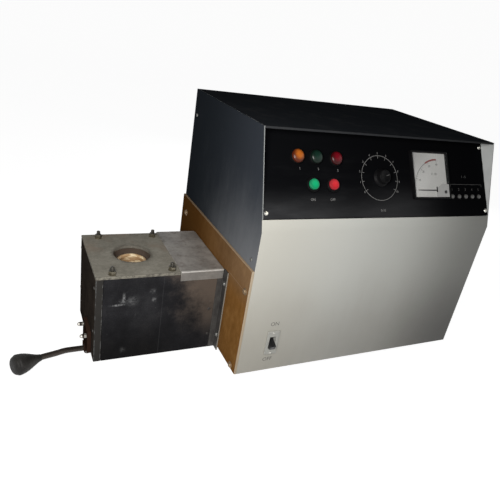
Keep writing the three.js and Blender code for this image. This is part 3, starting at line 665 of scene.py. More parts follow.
STUD_BRASS = stud_brass()
DOMED_BOLT = domed_bolt()
GUARD_WIRE = plated("guard_wire", (0.62, 0.62, 0.61), 0.16)
SCREW_PLATING = plated("screw_plating", (0.55, 0.54, 0.50), 0.24)
DULL_SCREW = plated("dull_screw", (0.24, 0.24, 0.23), 0.4)
BROWN_BOLT = plated("brown_bolt", (0.30, 0.22, 0.14), 0.55)
COPPER_TUBE = plated("copper_tube", (0.70, 0.33, 0.18), 0.25)
BLACK_ROD = black_rod()
print("finishes so far:", len(bpy.data.materials))

# %% [markdown]
# Moulded plastics have a fine spark-eroded texture and shine where they are touched. Lamp lenses and
# button caps are tinted, with a painted highlight, painted shade towards the rim and a faint painted
# glow in their own colour. The functions take the colour, so each serves many pieces.


# %% Plastics and lenses
def moulded(name, colour, worn, roughness=0.42, gloss=0.5):
    """Plastic with a fine texture, smoother where it is touched."""
    paint = Paint(name, Specular_IOR_Level=gloss)
    touch = paint.noise(9, 4, 0.6)
    grain = paint.noise(0.55, 2, 0.6)
    tone = paint.blend(touch.between(0.4, 0.75) * 0.5, colour, worn)
    return paint.finish(tone, roughness - touch * 0.12, grain, 0.25, 0.06)


def lens(name, highlight_at, colour, rim, reach, painted_glow):
    """A tinted lens: a painted highlight at (u, v) on the panel, painted shade to its rim, faint painted
    light.
    """
    paint = Paint(name, Specular_IOR_Level=0.25, Emission_Strength=painted_glow)
    across = paint.x - highlight_at[0]
    up_slope = (paint.y - PANEL_FOOT_Y) * RUN + (paint.z - PANEL_FOOT_Z) * RISE
    upward = up_slope * (1 / SLOPE_LENGTH) - highlight_at[1]
    radius = (across * across + upward * upward).math("SQRT")
    depth = paint.noise(3, 2, 0.5)
    # Painted highlight at the given spot, fading to painted shade at the rim.
    tone = paint.blend((radius + depth * 3).between(reach * 0.35, reach), colour, rim)
    # The lens also glows faintly in these colours, which is painted light.
    paint.feed(paint.shader.inputs["Emission Color"], tone)
    return paint.finish(tone, 0.25 + depth * 0.1, depth, 0.05, 0.1)


BLACK_PLASTIC = moulded("black_plastic", (0.012, 0.012, 0.013), (0.03, 0.03, 0.031), gloss=0.3)
DEEP_PLASTIC = moulded("deep_plastic", (0.005, 0.005, 0.0055), (0.011, 0.011, 0.012), 0.5, 0.06)
GREY_PLASTIC = moulded("grey_plastic", (0.42, 0.42, 0.39), (0.33, 0.33, 0.31))
COVER_PLASTIC = moulded("cover_plastic", (0.50, 0.50, 0.49), (0.42, 0.42, 0.41))
CIRCUIT_GREEN = moulded("circuit_green", (0.02, 0.10, 0.04), (0.03, 0.14, 0.06), 0.35)
SLEEVE_BLUE = moulded("sleeve_blue", (0.03, 0.08, 0.2), (0.05, 0.12, 0.26), 0.3)
PALE_LENS = moulded("pale_lens", (0.10, 0.10, 0.098), (0.22, 0.22, 0.21), 0.35)
START_GREEN = lens("start_green", (114, 66), (0.004, 0.40, 0.16), (0.012, 0.20, 0.09), 13, 0.05)
STOP_RED = lens("stop_red", (160.5, 66), (0.64, 0.025, 0.035), (0.33, 0.022, 0.03), 13, 0.05)
AMBER_LENS = lens("amber_lens", (85, 123), (0.46, 0.12, 0.014), (0.075, 0.013, 0.004), 15, 0.05)
GREEN_LENS = lens("green_lens", (127, 122), (0.006, 0.026, 0.017), (0.003, 0.009, 0.006), 16, 0.0)
RED_LENS = lens("red_lens", (174, 122), (0.17, 0.003, 0.010), (0.035, 0.0015, 0.002), 16, 0.05)
print("with plastics and lenses:", len(bpy.data.materials))

# %% [markdown]
# What is left are the dial's card, its clear window, the glazed clay of the crucible with the scorched
# lining round it, rubber, and the inks. The window's own tint is dark and almost clear, so it adds shine
# but no haze.


# %% Card, window and inks
def card():
    """The meter's dial: matt white card, a shade yellowed, with painted shade towards its upper left."""
    paint = Paint("dial_card", Specular_IOR_Level=0.2)
    age = paint.noise(60, 3, 0.5)
    tone = paint.blend(age.between(0.3, 0.75), (0.95, 0.95, 0.93), (0.86, 0.86, 0.835))
    # Painted shade that the frame casts on the upper left of the dial.
    dull = (1 - paint.x.between(370, 440)) * paint.z.between(410, 470) * 0.36
    tone = paint.blend(dull, tone, (0.2, 0.2, 0.2))
    return paint.finish(tone, 0.8 - age * 0.1, paint.noise(0.6), 0.05, 0.03)


def clear_window():
    """The meter's window: nearly all of it lets light through."""
    paint = Paint("clear_window", Specular_IOR_Level=0.5, Alpha=0.07, IOR=1.45)
    smear = paint.noise(20, 4, 0.6)
    return paint.finish(paint.blend(smear, (0.10, 0.105, 0.11), (0.20, 0.205, 0.21)), 0.04 + smear * 0.05)


def print_ink(name, colour):
    """Printed ink, a little rubbed away."""
    paint = Paint(name, Specular_IOR_Level=0.3)
    wear = paint.noise(3, 4, 0.7)
    tone = paint.blend(wear.between(0.5, 0.8) * 0.4, colour, [c * 0.6 for c in colour])
    return paint.finish(tone, 0.5 + wear * 0.2, wear, 0.05, 0.02)


DIAL_CARD = card()
CLEAR_WINDOW = clear_window()
WHITE_INK = print_ink("white_ink", (0.24, 0.24, 0.235))
FAINT_INK = print_ink("faint_ink", (0.10, 0.10, 0.098))
DIAL_INK = print_ink("dial_ink", (0.16, 0.155, 0.15))
RED_INK = print_ink("red_ink", (0.35, 0.08, 0.07))
GREY_INK = print_ink("grey_ink", (0.16, 0.155, 0.145))
print("with card and inks:", len(bpy.data.materials))


# %% Clay, lining and rubber
def glazed_clay():
    """The crucible: tan clay under a golden glaze, ringed inside the bowl and scorched below the rim."""
    paint = Paint("glazed_clay", Specular_IOR_Level=0.5, Coat_Weight=0.3, Coat_Roughness=0.2)
    drip = paint.noise(9, 5, 0.65, stretch=(2.5, 2.5, 0.8))
    cloud = paint.noise(22, 4, 0.6, shift=5)
    stops = [(0.25, (0.33, 0.20, 0.10)), (0.5, (0.52, 0.34, 0.18)), (0.75, (0.68, 0.50, 0.30))]
    tone = paint.ramp(drip * 0.5 + cloud * 0.5, stops)
    scorched = 1 - paint.z.between(RIM_TOP - 8, RIM_TOP - 0.6)
    tone = paint.blend(scorched * 0.4, tone, (0.16, 0.075, 0.03))
    rings = paint.noise(7, 3, 0.6, stretch=(3, 3, 0.6), shift=9).between(0.48, 0.6)
    bowl = 1 - from_well(paint).between(27, 30)
    tone = paint.blend(rings * bowl * 0.7, tone, (0.90, 0.76, 0.50))
    return paint.finish(tone, 0.3 + cloud * 0.25, drip, 0.3, 0.4)


def refractory():
    """The sleeve round the crucible: coarse clay, scorched more and more towards its top."""
    paint = Paint("refractory", Specular_IOR_Level=0.15)
    grain = paint.noise(2.4, 5, 0.7)
    scorch = paint.z.between(110, 182) * 0.75 + paint.noise(24, 4, 0.6) * 0.4
    tone = paint.blend(scorch.between(0.2, 1), (0.42, 0.36, 0.28), (0.085, 0.062, 0.048))
    return paint.finish(tone, 0.9 - grain * 0.1, grain, 0.6, 0.5)


def rubber(name, colour, dusty):
    """Matt rubber with a fine grain and a dusty bloom."""
    paint = Paint(name, Specular_IOR_Level=0.2)
    cloud = paint.noise(18, 4, 0.6)
    grain = paint.noise(0.8, 2, 0.6)
    tone = paint.blend(cloud.between(0.35, 0.7), colour, dusty)
    return paint.finish(tone, 0.62 - cloud * 0.14, grain, 0.3, 0.08)


GLAZED_CLAY = glazed_clay()
REFRACTORY = refractory()
FOOT_RUBBER = rubber("foot_rubber", (0.012, 0.012, 0.012), (0.035, 0.034, 0.032))
GRIP_RUBBER = rubber("grip_rubber", (0.016, 0.015, 0.014), (0.036, 0.034, 0.032))
print("finishes in all:", len(bpy.data.materials))

# %% [markdown]
# ## Mesh makers
# Each maker returns a plain mesh in millimetres. `piece` then places it, gives it its material and tells
# the frame which body carries it. `refined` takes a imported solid, merges its loose triangles into flat
# faces and rounds its edges, so that folded sheet and cut board catch the light as real edges do.

# %% Helpers for meshes
TO_METRES = Matrix.Scale(MM, 4)


def polar(radius, angle):
    return radius * math.cos(angle), radius * math.sin(angle)


def circle(radius, sides):
    return [polar(radius, 2 * math.pi * i / sides) for i in range(sides)]


def new_mesh(name, build):
    """Runs build on an empty bmesh and returns the closed result with its faces outward."""
    mesh = bpy.data.meshes.new(name)
    shape = bmesh.new()
    build(shape)
    bmesh.ops.remove_doubles(shape, verts=shape.verts, dist=1e-4)
    bmesh.ops.recalc_face_normals(shape, faces=shape.faces)
    shape.to_mesh(mesh)
    shape.free()
    return mesh


def skin(shape, pairs, sides):
    """Faces between pairs of rows of vertices. A row of one vertex is a pole."""
    for lower, upper in pairs:
        for i in range(sides):
            j = (i + 1) % sides
            low, high = len(lower), len(upper)
            loop = [lower[i % low], lower[j % low], upper[j % high], upper[i % high]]
            unique = list(dict.fromkeys(loop))
            if len(unique) > 2:
                shape.faces.new(unique)


def soften(mesh, angle=32):
    """Smooth shading, with edges sharper than the angle kept crisp."""
    mesh.shade_smooth()
    mesh.set_sharp_from_angle(angle=math.radians(angle))
    return mesh


def placed(mesh, matrix):
    mesh.transform(matrix)
    return mesh


def lifted(mesh, height):
    return placed(mesh, Matrix.Translation((0, 0, height)))


def evaluated_mesh(thing):
    """The mesh that an object's modifiers, or its text, come to."""
    graph = bpy.context.evaluated_depsgraph_get()
    return bpy.data.meshes.new_from_object(thing.evaluated_get(graph), depsgraph=graph)


def modified(mesh, kind, **settings):
    """The mesh after one modifier."""
    holder = bpy.data.objects.new("holder", mesh)
    scene.collection.objects.link(holder)
    modifier = holder.modifiers.new(kind, kind)
    for name, value in settings.items():
        setattr(modifier, name, value)
    made = evaluated_mesh(holder)
    made.name = mesh.name
    bpy.data.objects.remove(holder)
    return made


print("mesh helpers ready")


# %% Solids
def bevelled(mesh, width, segments=2):
    """Rounds every edge sharper than 30 degrees."""
    limits = {"limit_method": "ANGLE", "angle_limit": math.radians(30)}
    rounded = modified(mesh, "BEVEL", width=width, segments=segments, **limits)
    return modified(soften(rounded), "WEIGHTED_NORMAL", keep_sharp=True)


def turned(name, profile, sides=64, closed=False):
    """A solid turned about Z from radius and height pairs, from the bottom up. A closed one is a ring."""

    def build(shape):
        rows = []
        for radius, height in profile:
            around = circle(radius, sides) if radius > 1e-6 else [(0, 0)]
            rows.append([shape.verts.new((x, y, height)) for x, y in around])
        pairs = list(zip(rows, rows[1:]))
        if closed:
            pairs.append((rows[-1], rows[0]))
        skin(shape, pairs, sides)

    return soften(new_mesh(name, build))


def slab(name, low, high, width=0.0):
    """A block between two corners, with rounded edges if a width is given."""

    def build(shape):
        size = [h - l for l, h in zip(low, high)]
        middle = [(h + l) / 2 for l, h in zip(low, high)]
        place = Matrix.Translation(middle) @ Matrix.Diagonal((*size, 1))
        bmesh.ops.create_cube(shape, size=1, matrix=place)

    mesh = new_mesh(name, build)
    return bevelled(mesh, width) if width else mesh


def prism(name, outline, low, high, width=0.0):
    """A flat outline in X and Y, raised from low to high."""

    def build(shape):
        bottom, top = ([shape.verts.new((x, y, z)) for x, y in outline] for z in (low, high))
        shape.faces.new(bottom[::-1])
        shape.faces.new(top)
        skin(shape, [(bottom, top)], len(outline))

    mesh = new_mesh(name, build)
    return bevelled(mesh, width) if width else mesh


def carved(mesh, *cutters):
    """The mesh less the cutters."""
    for cutter in cutters:
        tool = bpy.data.objects.new("cutter", cutter)
        scene.collection.objects.link(tool)
        mesh = modified(mesh, "BOOLEAN", operation="DIFFERENCE", object=tool, solver="EXACT")
        bpy.data.objects.remove(tool)
    return mesh


def joined(name, *meshes):
    """Several closed shells kept as one mesh."""
    shape = bmesh.new()
    for mesh in meshes:
        shape.from_mesh(mesh)
    made = bpy.data.meshes.new(name)
    shape.to_mesh(made)
    shape.free()
    return soften(made)


def refined(node, width, segments=2):
    """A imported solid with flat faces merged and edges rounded, still in the frame's metres."""
    shape = bmesh.new()
    shape.from_mesh(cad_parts[node].data)
    bmesh.ops.remove_doubles(shape, verts=shape.verts, dist=2e-6)
    bmesh.ops.dissolve_limit(shape, angle_limit=math.radians(0.6), verts=shape.verts, edges=shape.edges)
    mesh = bpy.data.meshes.new(node + "_shell")
    shape.to_mesh(mesh)
    shape.free()
    return bevelled(mesh, width * MM, segments)


print("solid makers ready")


# %% Pieces
def repaint(thing, material):
    thing.materials.clear()
    thing.materials.append(material)


def piece(name, mesh, material, body="cabinet", stands_for=(), place=None):
    """Places a mesh in the frame, gives it its finish and hangs it on its body."""
    if place is not None:
        mesh.transform(place)
    repaint(mesh, material)
    thing = bpy.data.objects.new(name, mesh)
    scene.collection.objects.link(thing)
    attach(thing, body)
    if stands_for:
        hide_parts(*stands_for)
    return thing


# %% [markdown]
# ## Cabinet
# The real cabinet is folded and screwed sheet, with a box of thick boards hung on its side. The solids
# already have the right outline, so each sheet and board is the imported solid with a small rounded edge.
# The bend between front and slope, and the sheet edges beside the panel, then show as thin light lines.

# %% Sheets and boards
SHEETS = [
    ("front_panel", "front_sheet", FRONT_ENAMEL, "light_paint", 0.5),
    ("left_side_panel", "left_sheet", LEFT_ENAMEL, "dark_paint", 0.3),
    ("right_side_panel", "right_sheet", RIGHT_ENAMEL, "dark_paint", 0.3),
    ("top_panel", "top_sheet", TOP_ENAMEL, "dark_paint", 0.3),
    ("rear_panel", "rear_sheet", DARK_ENAMEL, "dark_paint", 0.4),
    ("control_panel", "control_face", PANEL_FACE, "gloss_black", 0.5),
    ("insulating_board", "phenolic_board", BOARD_PHENOLIC, "phenolic", 0.6),
    ("box_end_wall", "end_wall_board", END_BOARD, "slate_board", 1.2),
    ("box_front_wall", "front_wall_board", SCUFFED_BOARD, "slate_board", 1.0),
    ("box_rear_wall", "rear_wall_board", PLAIN_BOARD, "slate_board", 1.0),
    ("box_top_board", "mouth_board", CEMENT_BOARD, "cement_board", 0.8),
    ("lead_cover", "cover_sheet", COVER_STEEL, "steel", 0.7),
    ("box_angle_front", "front_angle", ANGLE_STEEL, "steel", 0.5),
    ("box_angle_rear", "rear_angle", ANGLE_STEEL, "steel", 0.5),
]
for node, name, material, slot, width in SHEETS:
    made = piece(name, refined(node, width), material, stands_for=[node])
    print(name, len(made.data.polygons), "faces")

# %% [markdown]
# Some pieces show only through a gap, a vent or the mouth, or are plain enough as they are. Their solids
# keep their meshes, and each only gets a finish.

# %% Solids that keep their shape
INSIDES = [
    ("chassis_base", DARK_ENAMEL),
    ("box_floor", CEMENT_BOARD),
    ("output_transformer", CORE_IRON),
    ("capacitor_bank", SLEEVE_BLUE),
    ("inverter_heatsink", BARE_STEEL),
    ("control_board", CIRCUIT_GREEN),
    ("power_contactor", BLACK_PLASTIC),
    ("power_potentiometer", BARE_STEEL),
    ("fan_housing", BLACK_PLASTIC),
    ("fan_rotor", BLACK_PLASTIC),
    ("lever_pin", BARE_STEEL),
    ("crucible_lifter", BARE_STEEL),
    ("furnace_sleeve", REFRACTORY),
    ("meter_dial", DIAL_CARD),
    ("meter_window", CLEAR_WINDOW),
]
for node, material in INSIDES:
    repaint(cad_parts[node].data, material)
print("repainted", len(INSIDES), "solids")

# %% [markdown]
# ## Fasteners
# Screws repeat, so a geometry tree sets them. A mesh of bare points carries where each screw sits and
# which way it faces, the tree puts a head on each point, turns it by a random but seeded angle, and joins
# the copies into one mesh. Three kinds of head are turned and cut first: a cross-recessed screw with or
# without its washer, a stud with a hex nut, and a long bolt with a domed nut.


# %% Fastener heads
def cross_screw(radius, height, washer=0.0):
    """A domed screw head with a cross recess, on a washer of the given radius if there is one."""
    dome = [
        (0, 0),
        (radius, 0),
        (radius, height * 0.45),
        (radius * 0.86, height * 0.8),
        (radius * 0.5, height),
        (0, height * 1.05),
    ]
    head = turned("cross_screw", dome, 20)
    arm, blade, floor = radius * 0.55, radius * 0.13, height * 0.45
    cuts = [
        slab("slot", (-arm, -blade, floor), (arm, blade, height * 2)),
        slab("slot", (-blade, -arm, floor), (blade, arm, height * 2)),
    ]
    head = soften(carved(head, *cuts))
    if washer:
        rim = [(0, -0.1), (washer, -0.1), (washer, 0.7), (washer - 0.3, 1.0), (0, 1.0)]
        head = joined("cross_screw", lifted(head, 0.9), turned("washer", rim, 24))
    return placed(head, TO_METRES)


def hex_nut(across, low, high, edge):
    return prism("nut", circle(across / math.sqrt(3), 6), low, high, edge)


def stud_and_nut(across, nut, stud_radius, stud_height):
    """A washer, a hex nut and the threaded end of the stud that it holds."""
    reach, washer, pitch = across * 0.62, 1.2, 1.25
    ring = turned("washer", [(0, 0), (reach, 0), (reach, washer), (0, washer)], 28)
    body = hex_nut(across, washer, washer + nut, 0.7)
    thread = [(0, 0)]
    height = 0.8
    while height < stud_height - pitch:
        thread += [(stud_radius - 0.55, height), (stud_radius, height + pitch / 2)]
        height += pitch
    thread += [(stud_radius - 0.8, stud_height - 0.4), (stud_radius - 1.4, stud_height), (0, stud_height)]
    return placed(joined("stud_and_nut", ring, body, turned("stud", thread, 20)), TO_METRES)


def long_bolt(length, radius, across):
    """A shank between a base nut and a domed nut."""
    base = hex_nut(across, 0, 5, 0.6)
    shank = turned("shank", [(0, 0), (radius, 0), (radius, length), (0, length)], 20)
    cap_nut = hex_nut(across, length - 5, length, 0.6)
    dome = [
        (0, length - 1),
        (across * 0.45, length - 1),
        (across * 0.42, length + 1.6),
        (across * 0.28, length + 3.4),
        (0, length + 4.2),
    ]
    return placed(joined("long_bolt", base, shank, cap_nut, turned("dome", dome, 20)), TO_METRES)


print("heads for screws, studs and bolts ready")

# %% [markdown]
# A geometry tree is a list of nodes with links. Three helpers keep it readable: one opens a tree with its
# named inputs, one adds a node and feeds it, and one closes the tree by turning the copies into real mesh
# with its finish, because an export drops instances.


# %% Geometry tree helpers
def open_tree(name, inputs, result):
    """A tree with named inputs, and its first and last node."""
    tree = bpy.data.node_groups.new(name, "GeometryNodeTree")
    for label, kind in inputs.items():
        tree.interface.new_socket(label, in_out="INPUT", socket_type="NodeSocket" + kind)
    tree.interface.new_socket(result, in_out="OUTPUT", socket_type="NodeSocketGeometry")
    return tree, tree.nodes.new("NodeGroupInput").outputs, tree.nodes.new("NodeGroupOutput")


def add_node(tree, kind, inputs, **settings):
    """Adds a node, sets it, and feeds its sockets with plain values or with other sockets."""
    made = tree.nodes.new(kind)
    for name, value in settings.items():
        setattr(made, name, value)
    for key, value in inputs.items():
        if isinstance(value, bpy.types.NodeSocket):
            tree.links.new(value, made.inputs[key])
        else:
            made.inputs[key].default_value = value
    return made.outputs


def close_tree(tree, end, copies, finish):
    real = add_node(tree, "GeometryNodeRealizeInstances", {0: copies})
    painted = add_node(tree, "GeometryNodeSetMaterial", {"Geometry": real[0], "Material": finish})
    tree.links.new(painted[0], end.inputs[0])
    return tree


def run_tree(tree, carrier, values):
    """Runs a geometry tree on a carrier mesh and returns the plain mesh that it makes."""
    holder = bpy.data.objects.new("carrier", carrier)
    scene.collection.objects.link(holder)
    modifier = holder.modifiers.new("tree", "NODES")
    modifier.node_group = tree
    for item in tree.interface.items_tree:
        if item.item_type == "SOCKET" and item.in_out == "INPUT" and item.name in values:
            modifier[item.identifier] = values[item.name]
    made = evaluated_mesh(holder)
    holder.modifiers.remove(modifier)
    bpy.data.objects.remove(holder)
    return made


print("tree helpers ready")


# %% Fastener tree
def fastener_tree():
    inputs = {"Points": "Geometry", "Head": "Object", "Size": "Float", "Seed": "Int", "Finish": "Material"}
    tree, given, end = open_tree("set_fasteners", inputs, "Fasteners")
    facing = add_node(tree, "GeometryNodeInputNamedAttribute", {"Name": "facing"}, data_type="FLOAT_VECTOR")
    align = add_node(tree, "FunctionNodeAlignRotationToVector", {"Vector": facing["Attribute"]}, axis="Z")
    spread = {3: 2 * math.pi, "Seed": given["Seed"]}
    chance = add_node(tree, "FunctionNodeRandomValue", spread, data_type="FLOAT")
    spin = add_node(tree, "ShaderNodeCombineXYZ", {"Z": chance[1]})
    turn = add_node(tree, "FunctionNodeEulerToRotation", {0: spin[0]})
    both = add_node(tree, "FunctionNodeRotateRotation", {0: align[0], 1: turn[0]}, rotation_space="LOCAL")
    head = add_node(tree, "GeometryNodeObjectInfo", {"Object": given["Head"]})
    sockets = {
        "Points": given["Points"],
        "Instance": head["Geometry"],
        "Rotation": both[0],
        "Scale": given["Size"],
    }
    copies = add_node(tree, "GeometryNodeInstanceOnPoints", sockets)
    return close_tree(tree, end, copies[0], given["Finish"])


FASTENER_TREE = fastener_tree()


def fasteners(name, head_mesh, places, finish=SCREW_PLATING, seed=1):
    """places holds pairs: a point in the frame and the way the head faces."""
    points = bpy.data.meshes.new(name + "_points")
    points.from_pydata([p for p, _ in places], [], [])
    facing = points.attributes.new("facing", "FLOAT_VECTOR", "POINT")
    for i, (_, way) in enumerate(places):
        facing.data[i].vector = way
    head = bpy.data.objects.new("head", head_mesh)
    scene.collection.objects.link(head)
    made = run_tree(FASTENER_TREE, points, {"Head": head, "Size": 1.0, "Seed": seed, "Finish": finish})
    bpy.data.objects.remove(head)
    piece(name, soften(made), finish)
    print(name, len(places), "set,", len(made.polygons), "faces")


# %% [markdown]
# Each screw is placed by a point on the sheet and a direction. The left side and the panel have theirs
# where the picture shows them, and the hidden sides have a plain regular set.

# %% Screws of the cabinet, the board and the panel
def in_cabinet(x, y, z):
    return tuple(IN_CABINET @ Vector((x, y, z)))


def on_panel(u, v):
    return tuple(ON_PANEL @ Vector((u, v, 0)))


PANEL_OUT = (ON_PANEL.to_3x3() @ Vector((0, 0, 1))).normalized()
LEFT, RIGHT = Vector((-1, 0, 0)), Vector((1, 0, 0))
FRONT, BACK = Vector((0, -1, 0)), Vector((0, 1, 0))
UP = Vector((0, 0, 1))
BOARD_FACE = local_box("insulating_board")[0].x
EDGE_IN = 14

side_screws = [(in_cabinet(0, y, z), LEFT) for y, z in ((409, 451), (22, 261))]
side_screws += [(in_cabinet(CABINET_WIDTH, y, z), RIGHT) for y in (22, 215, 409) for z in (24, 270)]
side_screws += [(in_cabinet(CABINET_WIDTH, y, 480), RIGHT) for y in (110, 409)]
rear_x = (EDGE_IN, CABINET_WIDTH / 2, CABINET_WIDTH - EDGE_IN)
side_screws += [(in_cabinet(x, CABINET_DEPTH, z), BACK) for x in rear_x for z in (EDGE_IN, 493)]
side_screws += [(in_cabinet(x, CABINET_DEPTH, 250), BACK) for x in (rear_x[0], rear_x[2])]
fasteners("cabinet_screws", cross_screw(3.8, 2.4), side_screws, DULL_SCREW, 3)
panel_screws = [(on_panel(u, v), PANEL_OUT) for u in (8.5, CABINET_WIDTH - 9.5) for v in (12, 162)]
fasteners("panel_screws", cross_screw(4.6, 2.6), panel_screws, seed=5)
board_places = [(395, 206), (15, 194), (23, 8), (408, 14)]
board_bolts = [(in_cabinet(BOARD_FACE, y, z), LEFT) for y, z in board_places]
fasteners("board_bolts", cross_screw(5.2, 3.4, 7.4), board_bolts, BROWN_BOLT, 8)

# %% [markdown]
# ## Lamps and buttons
# Pilot devices share one black bezel. The lamps have wide domed lenses, and the caps of the push buttons
# are slightly dished. All of them are round, so each is a profile turned about its axis and set on the
# panel.

# %% Pilot devices
LAMPS = [
    ("amber", 83.5, 120.7, AMBER_LENS),
    ("green", 125.5, 120.5, GREEN_LENS),
    ("red", 172, 119, RED_LENS),
]
BUTTONS = [("start", 114, 66, START_GREEN), ("stop", 160.5, 66, STOP_RED)]
RIM, TUBE, BORE, RIM_HEIGHT, SEAT, DEPTH = 14.8, 10.6, 8.6, 7.0, 1.5, 26
LENS_RADIUS, CAP_RADIUS = 13.2, 10.8


def bezel_mesh(well):
    """A ring whose well holds a lens or a cap."""
    profile = [
        (BORE, -DEPTH),
        (TUBE, -DEPTH),
        (TUBE, GAP),
        (RIM - 0.3, GAP),
        (RIM, GAP + 0.4),
        (RIM, RIM_HEIGHT - 2.4),
        (RIM - 0.2, RIM_HEIGHT - 1.2),
        (RIM - 0.7, RIM_HEIGHT - 0.2),
        (RIM - 1.0, RIM_HEIGHT),
        (well + 0.2, RIM_HEIGHT),
        (well, RIM_HEIGHT - 0.2),
        (well, SEAT),
        (BORE, SEAT),
    ]
    return turned("bezel", profile, 96, closed=True)


def lens_mesh():
    """A lamp's dome, standing a little out of its rim."""
    edge, rise, steps = RIM_HEIGHT + 0.6, 6, 9
    profile = [(0, SEAT + GAP), (LENS_RADIUS, SEAT + GAP), (LENS_RADIUS, edge)]
    for i in range(1, steps):
        angle = math.radians(90) * i / steps
        profile.append((LENS_RADIUS * math.cos(angle), edge + rise * math.sin(angle)))
    profile.append((0, edge + rise))
    return turned("lens", profile)


def cap_mesh():
    """A push button's cap on its stem, with a shallow dish that a finger finds."""
    radius = CAP_RADIUS
    foot = RIM_HEIGHT - 0.7
    profile = [
        (0, -DEPTH + 6),
        (BORE - GAP, -DEPTH + 6),
        (BORE - GAP, foot),
        (radius, foot),
        (radius, RIM_HEIGHT + 2.4),
        (radius - 0.4, RIM_HEIGHT + 3.3),
        (radius - 1.3, RIM_HEIGHT + 3.8),
        (radius - 2.4, RIM_HEIGHT + 3.8),
        (radius - 5, RIM_HEIGHT + 3.3),
        (0, RIM_HEIGHT + 3.0),
    ]
    return turned("cap", profile)


for name, u, v, material in LAMPS:
    spot = ON_PANEL @ Matrix.Translation((u, v, 0))
    bezel, glass = name + "_lamp_bezel", name + "_lamp_lens"
    rim = bezel_mesh(LENS_RADIUS + GAP)
    piece(name + "_rim", rim, DEEP_PLASTIC, stands_for=[bezel], place=spot)
    piece(name + "_dome", lens_mesh(), material, stands_for=[glass], place=spot)
for name, u, v, material in BUTTONS:
    spot = ON_PANEL @ Matrix.Translation((u, v, 0))
    slot = {"start": "green_cap", "stop": "red_cap"}[name]
    bezel, cap = name + "_button_bezel", name + "_button"
    rim = bezel_mesh(CAP_RADIUS + GAP)
    piece(name + "_rim", rim, DEEP_PLASTIC, stands_for=[bezel], place=spot)
    piece(name + "_cap", cap_mesh(), material, cap, [cap], spot)
print("pilot devices:", len(LAMPS) + len(BUTTONS))

# %% [markdown]
# Five small lamps in a row tell faults. They are off, so their lenses are pale and dull, each in a black
# holder.

# %% Fault lamps
FAULT_U, FAULT_V, FAULT_PITCH, FAULT_COUNT = 487.1, 44.7, 21.1, 5
HOLDER = [(0, -12), (3.9, -12), (3.9, GAP), (6, GAP), (6, 1.4), (5.4, 2.2), (5, 2.2), (4.9, 1.2), (0, 1.2)]
BULB = [(0, 1.25), (4.7, 1.25), (4.7, 2.8), (4.2, 4.0), (2.8, 4.9), (0, 5.4)]
for i in range(FAULT_COUNT):
    spot = ON_PANEL @ Matrix.Translation((FAULT_U + i * FAULT_PITCH, FAULT_V, 0))
    piece(f"fault_holder_{i + 1}", turned("holder", HOLDER, 40), DEEP_PLASTIC, place=spot)
    name = f"fault_lamp_{i + 1}"
    piece(name + "_bulb", turned("bulb", BULB, 32), PALE_LENS, stands_for=[name], place=spot)
print("fault lamps:", FAULT_COUNT)

# %% [markdown]
# ## Power knob
# The knob has a skirt and a fluted grip. Flutes repeat round the axis, so the radius of each ring is
# pressed in by a cosine wave. A pale line on it points at the scale.

# %% Knob
KNOB_U, KNOB_V = 283.3, 83.2
KNOB_READING = 8
SCALE_START, SCALE_SWEEP, SCALE_STEPS = 215.7, 248.9, 10
FLUTES, FLUTE_DEPTH = 24, 0.9
SHAFT_TOP = 15


def scale_angle(reading):
    """Where a reading sits on the scale, counter-clockwise from the right."""
    return math.radians(SCALE_START - SCALE_SWEEP * reading / SCALE_STEPS)


def knob_mesh():
    """Rings of radius, height and share of the flutes' depth, over a bore for the shaft."""
    bottom, top = 2.6, 18.6
    rings = [
        (3.4, bottom, 0),
        (18.4, bottom, 0),
        (19, bottom + 0.6, 0),
        (19, bottom + 2.4, 0),
        (18, bottom + 3.2, 0),
        (16.0, bottom + 4.6, 0),
        (15.4, bottom + 5.4, 0.5),
        (14.9, bottom + 6.6, 1),
        (14.6, top - 3.0, 1),
        (14.2, top - 1.4, 0.4),
        (13.2, top - 0.3, 0),
        (12.2, top, 0),
        (11.2, top, 0),
        (10.6, top - 0.5, 0),
        (0, top - 0.5, 0),
    ]
    sides = FLUTES * 8

    def build(shape):
        rows = []
        for radius, height, fluted in rings:
            if radius == 0:
                rows.append([shape.verts.new((0, 0, height))])
                continue
            row = []
            for i in range(sides):
                angle = 2 * math.pi * i / sides
                dip = fluted * FLUTE_DEPTH * (0.5 + 0.5 * math.cos(FLUTES * angle)) ** 2
                row.append(shape.verts.new((*polar(radius - dip, angle), height)))
            rows.append(row)
        bore_top = [shape.verts.new((v.co.x, v.co.y, SHAFT_TOP)) for v in rows[0]]
        shape.faces.new(bore_top)
        skin(shape, zip([bore_top, *rows], rows), sides)

    return soften(new_mesh("knob", build), 40)


knob_spot = ON_PANEL @ Matrix.Translation((KNOB_U, KNOB_V, 0))
piece("knob_grip", knob_mesh(), DEEP_PLASTIC, "power_knob", ["power_knob"], knob_spot)
line_turn = Matrix.Rotation(scale_angle(KNOB_READING), 4, "Z")
pointer = slab("line", (2.5, -0.7, 18.05), (11.5, 0.7, 18.4), 0.1)
piece("knob_pointer", pointer, FAINT_INK, "power_knob", place=knob_spot @ line_turn)
print("knob points at", KNOB_READING)

# %% [markdown]
# ## Prints
# The scale round the knob is a thin ring with a tick and a plain number for each step. Ticks repeat round
# the ring, so a second geometry tree sets them on the points of an arc. Numbers are text, made into
# meshes before they are placed, so that their place goes into the mesh as it does for every other piece.


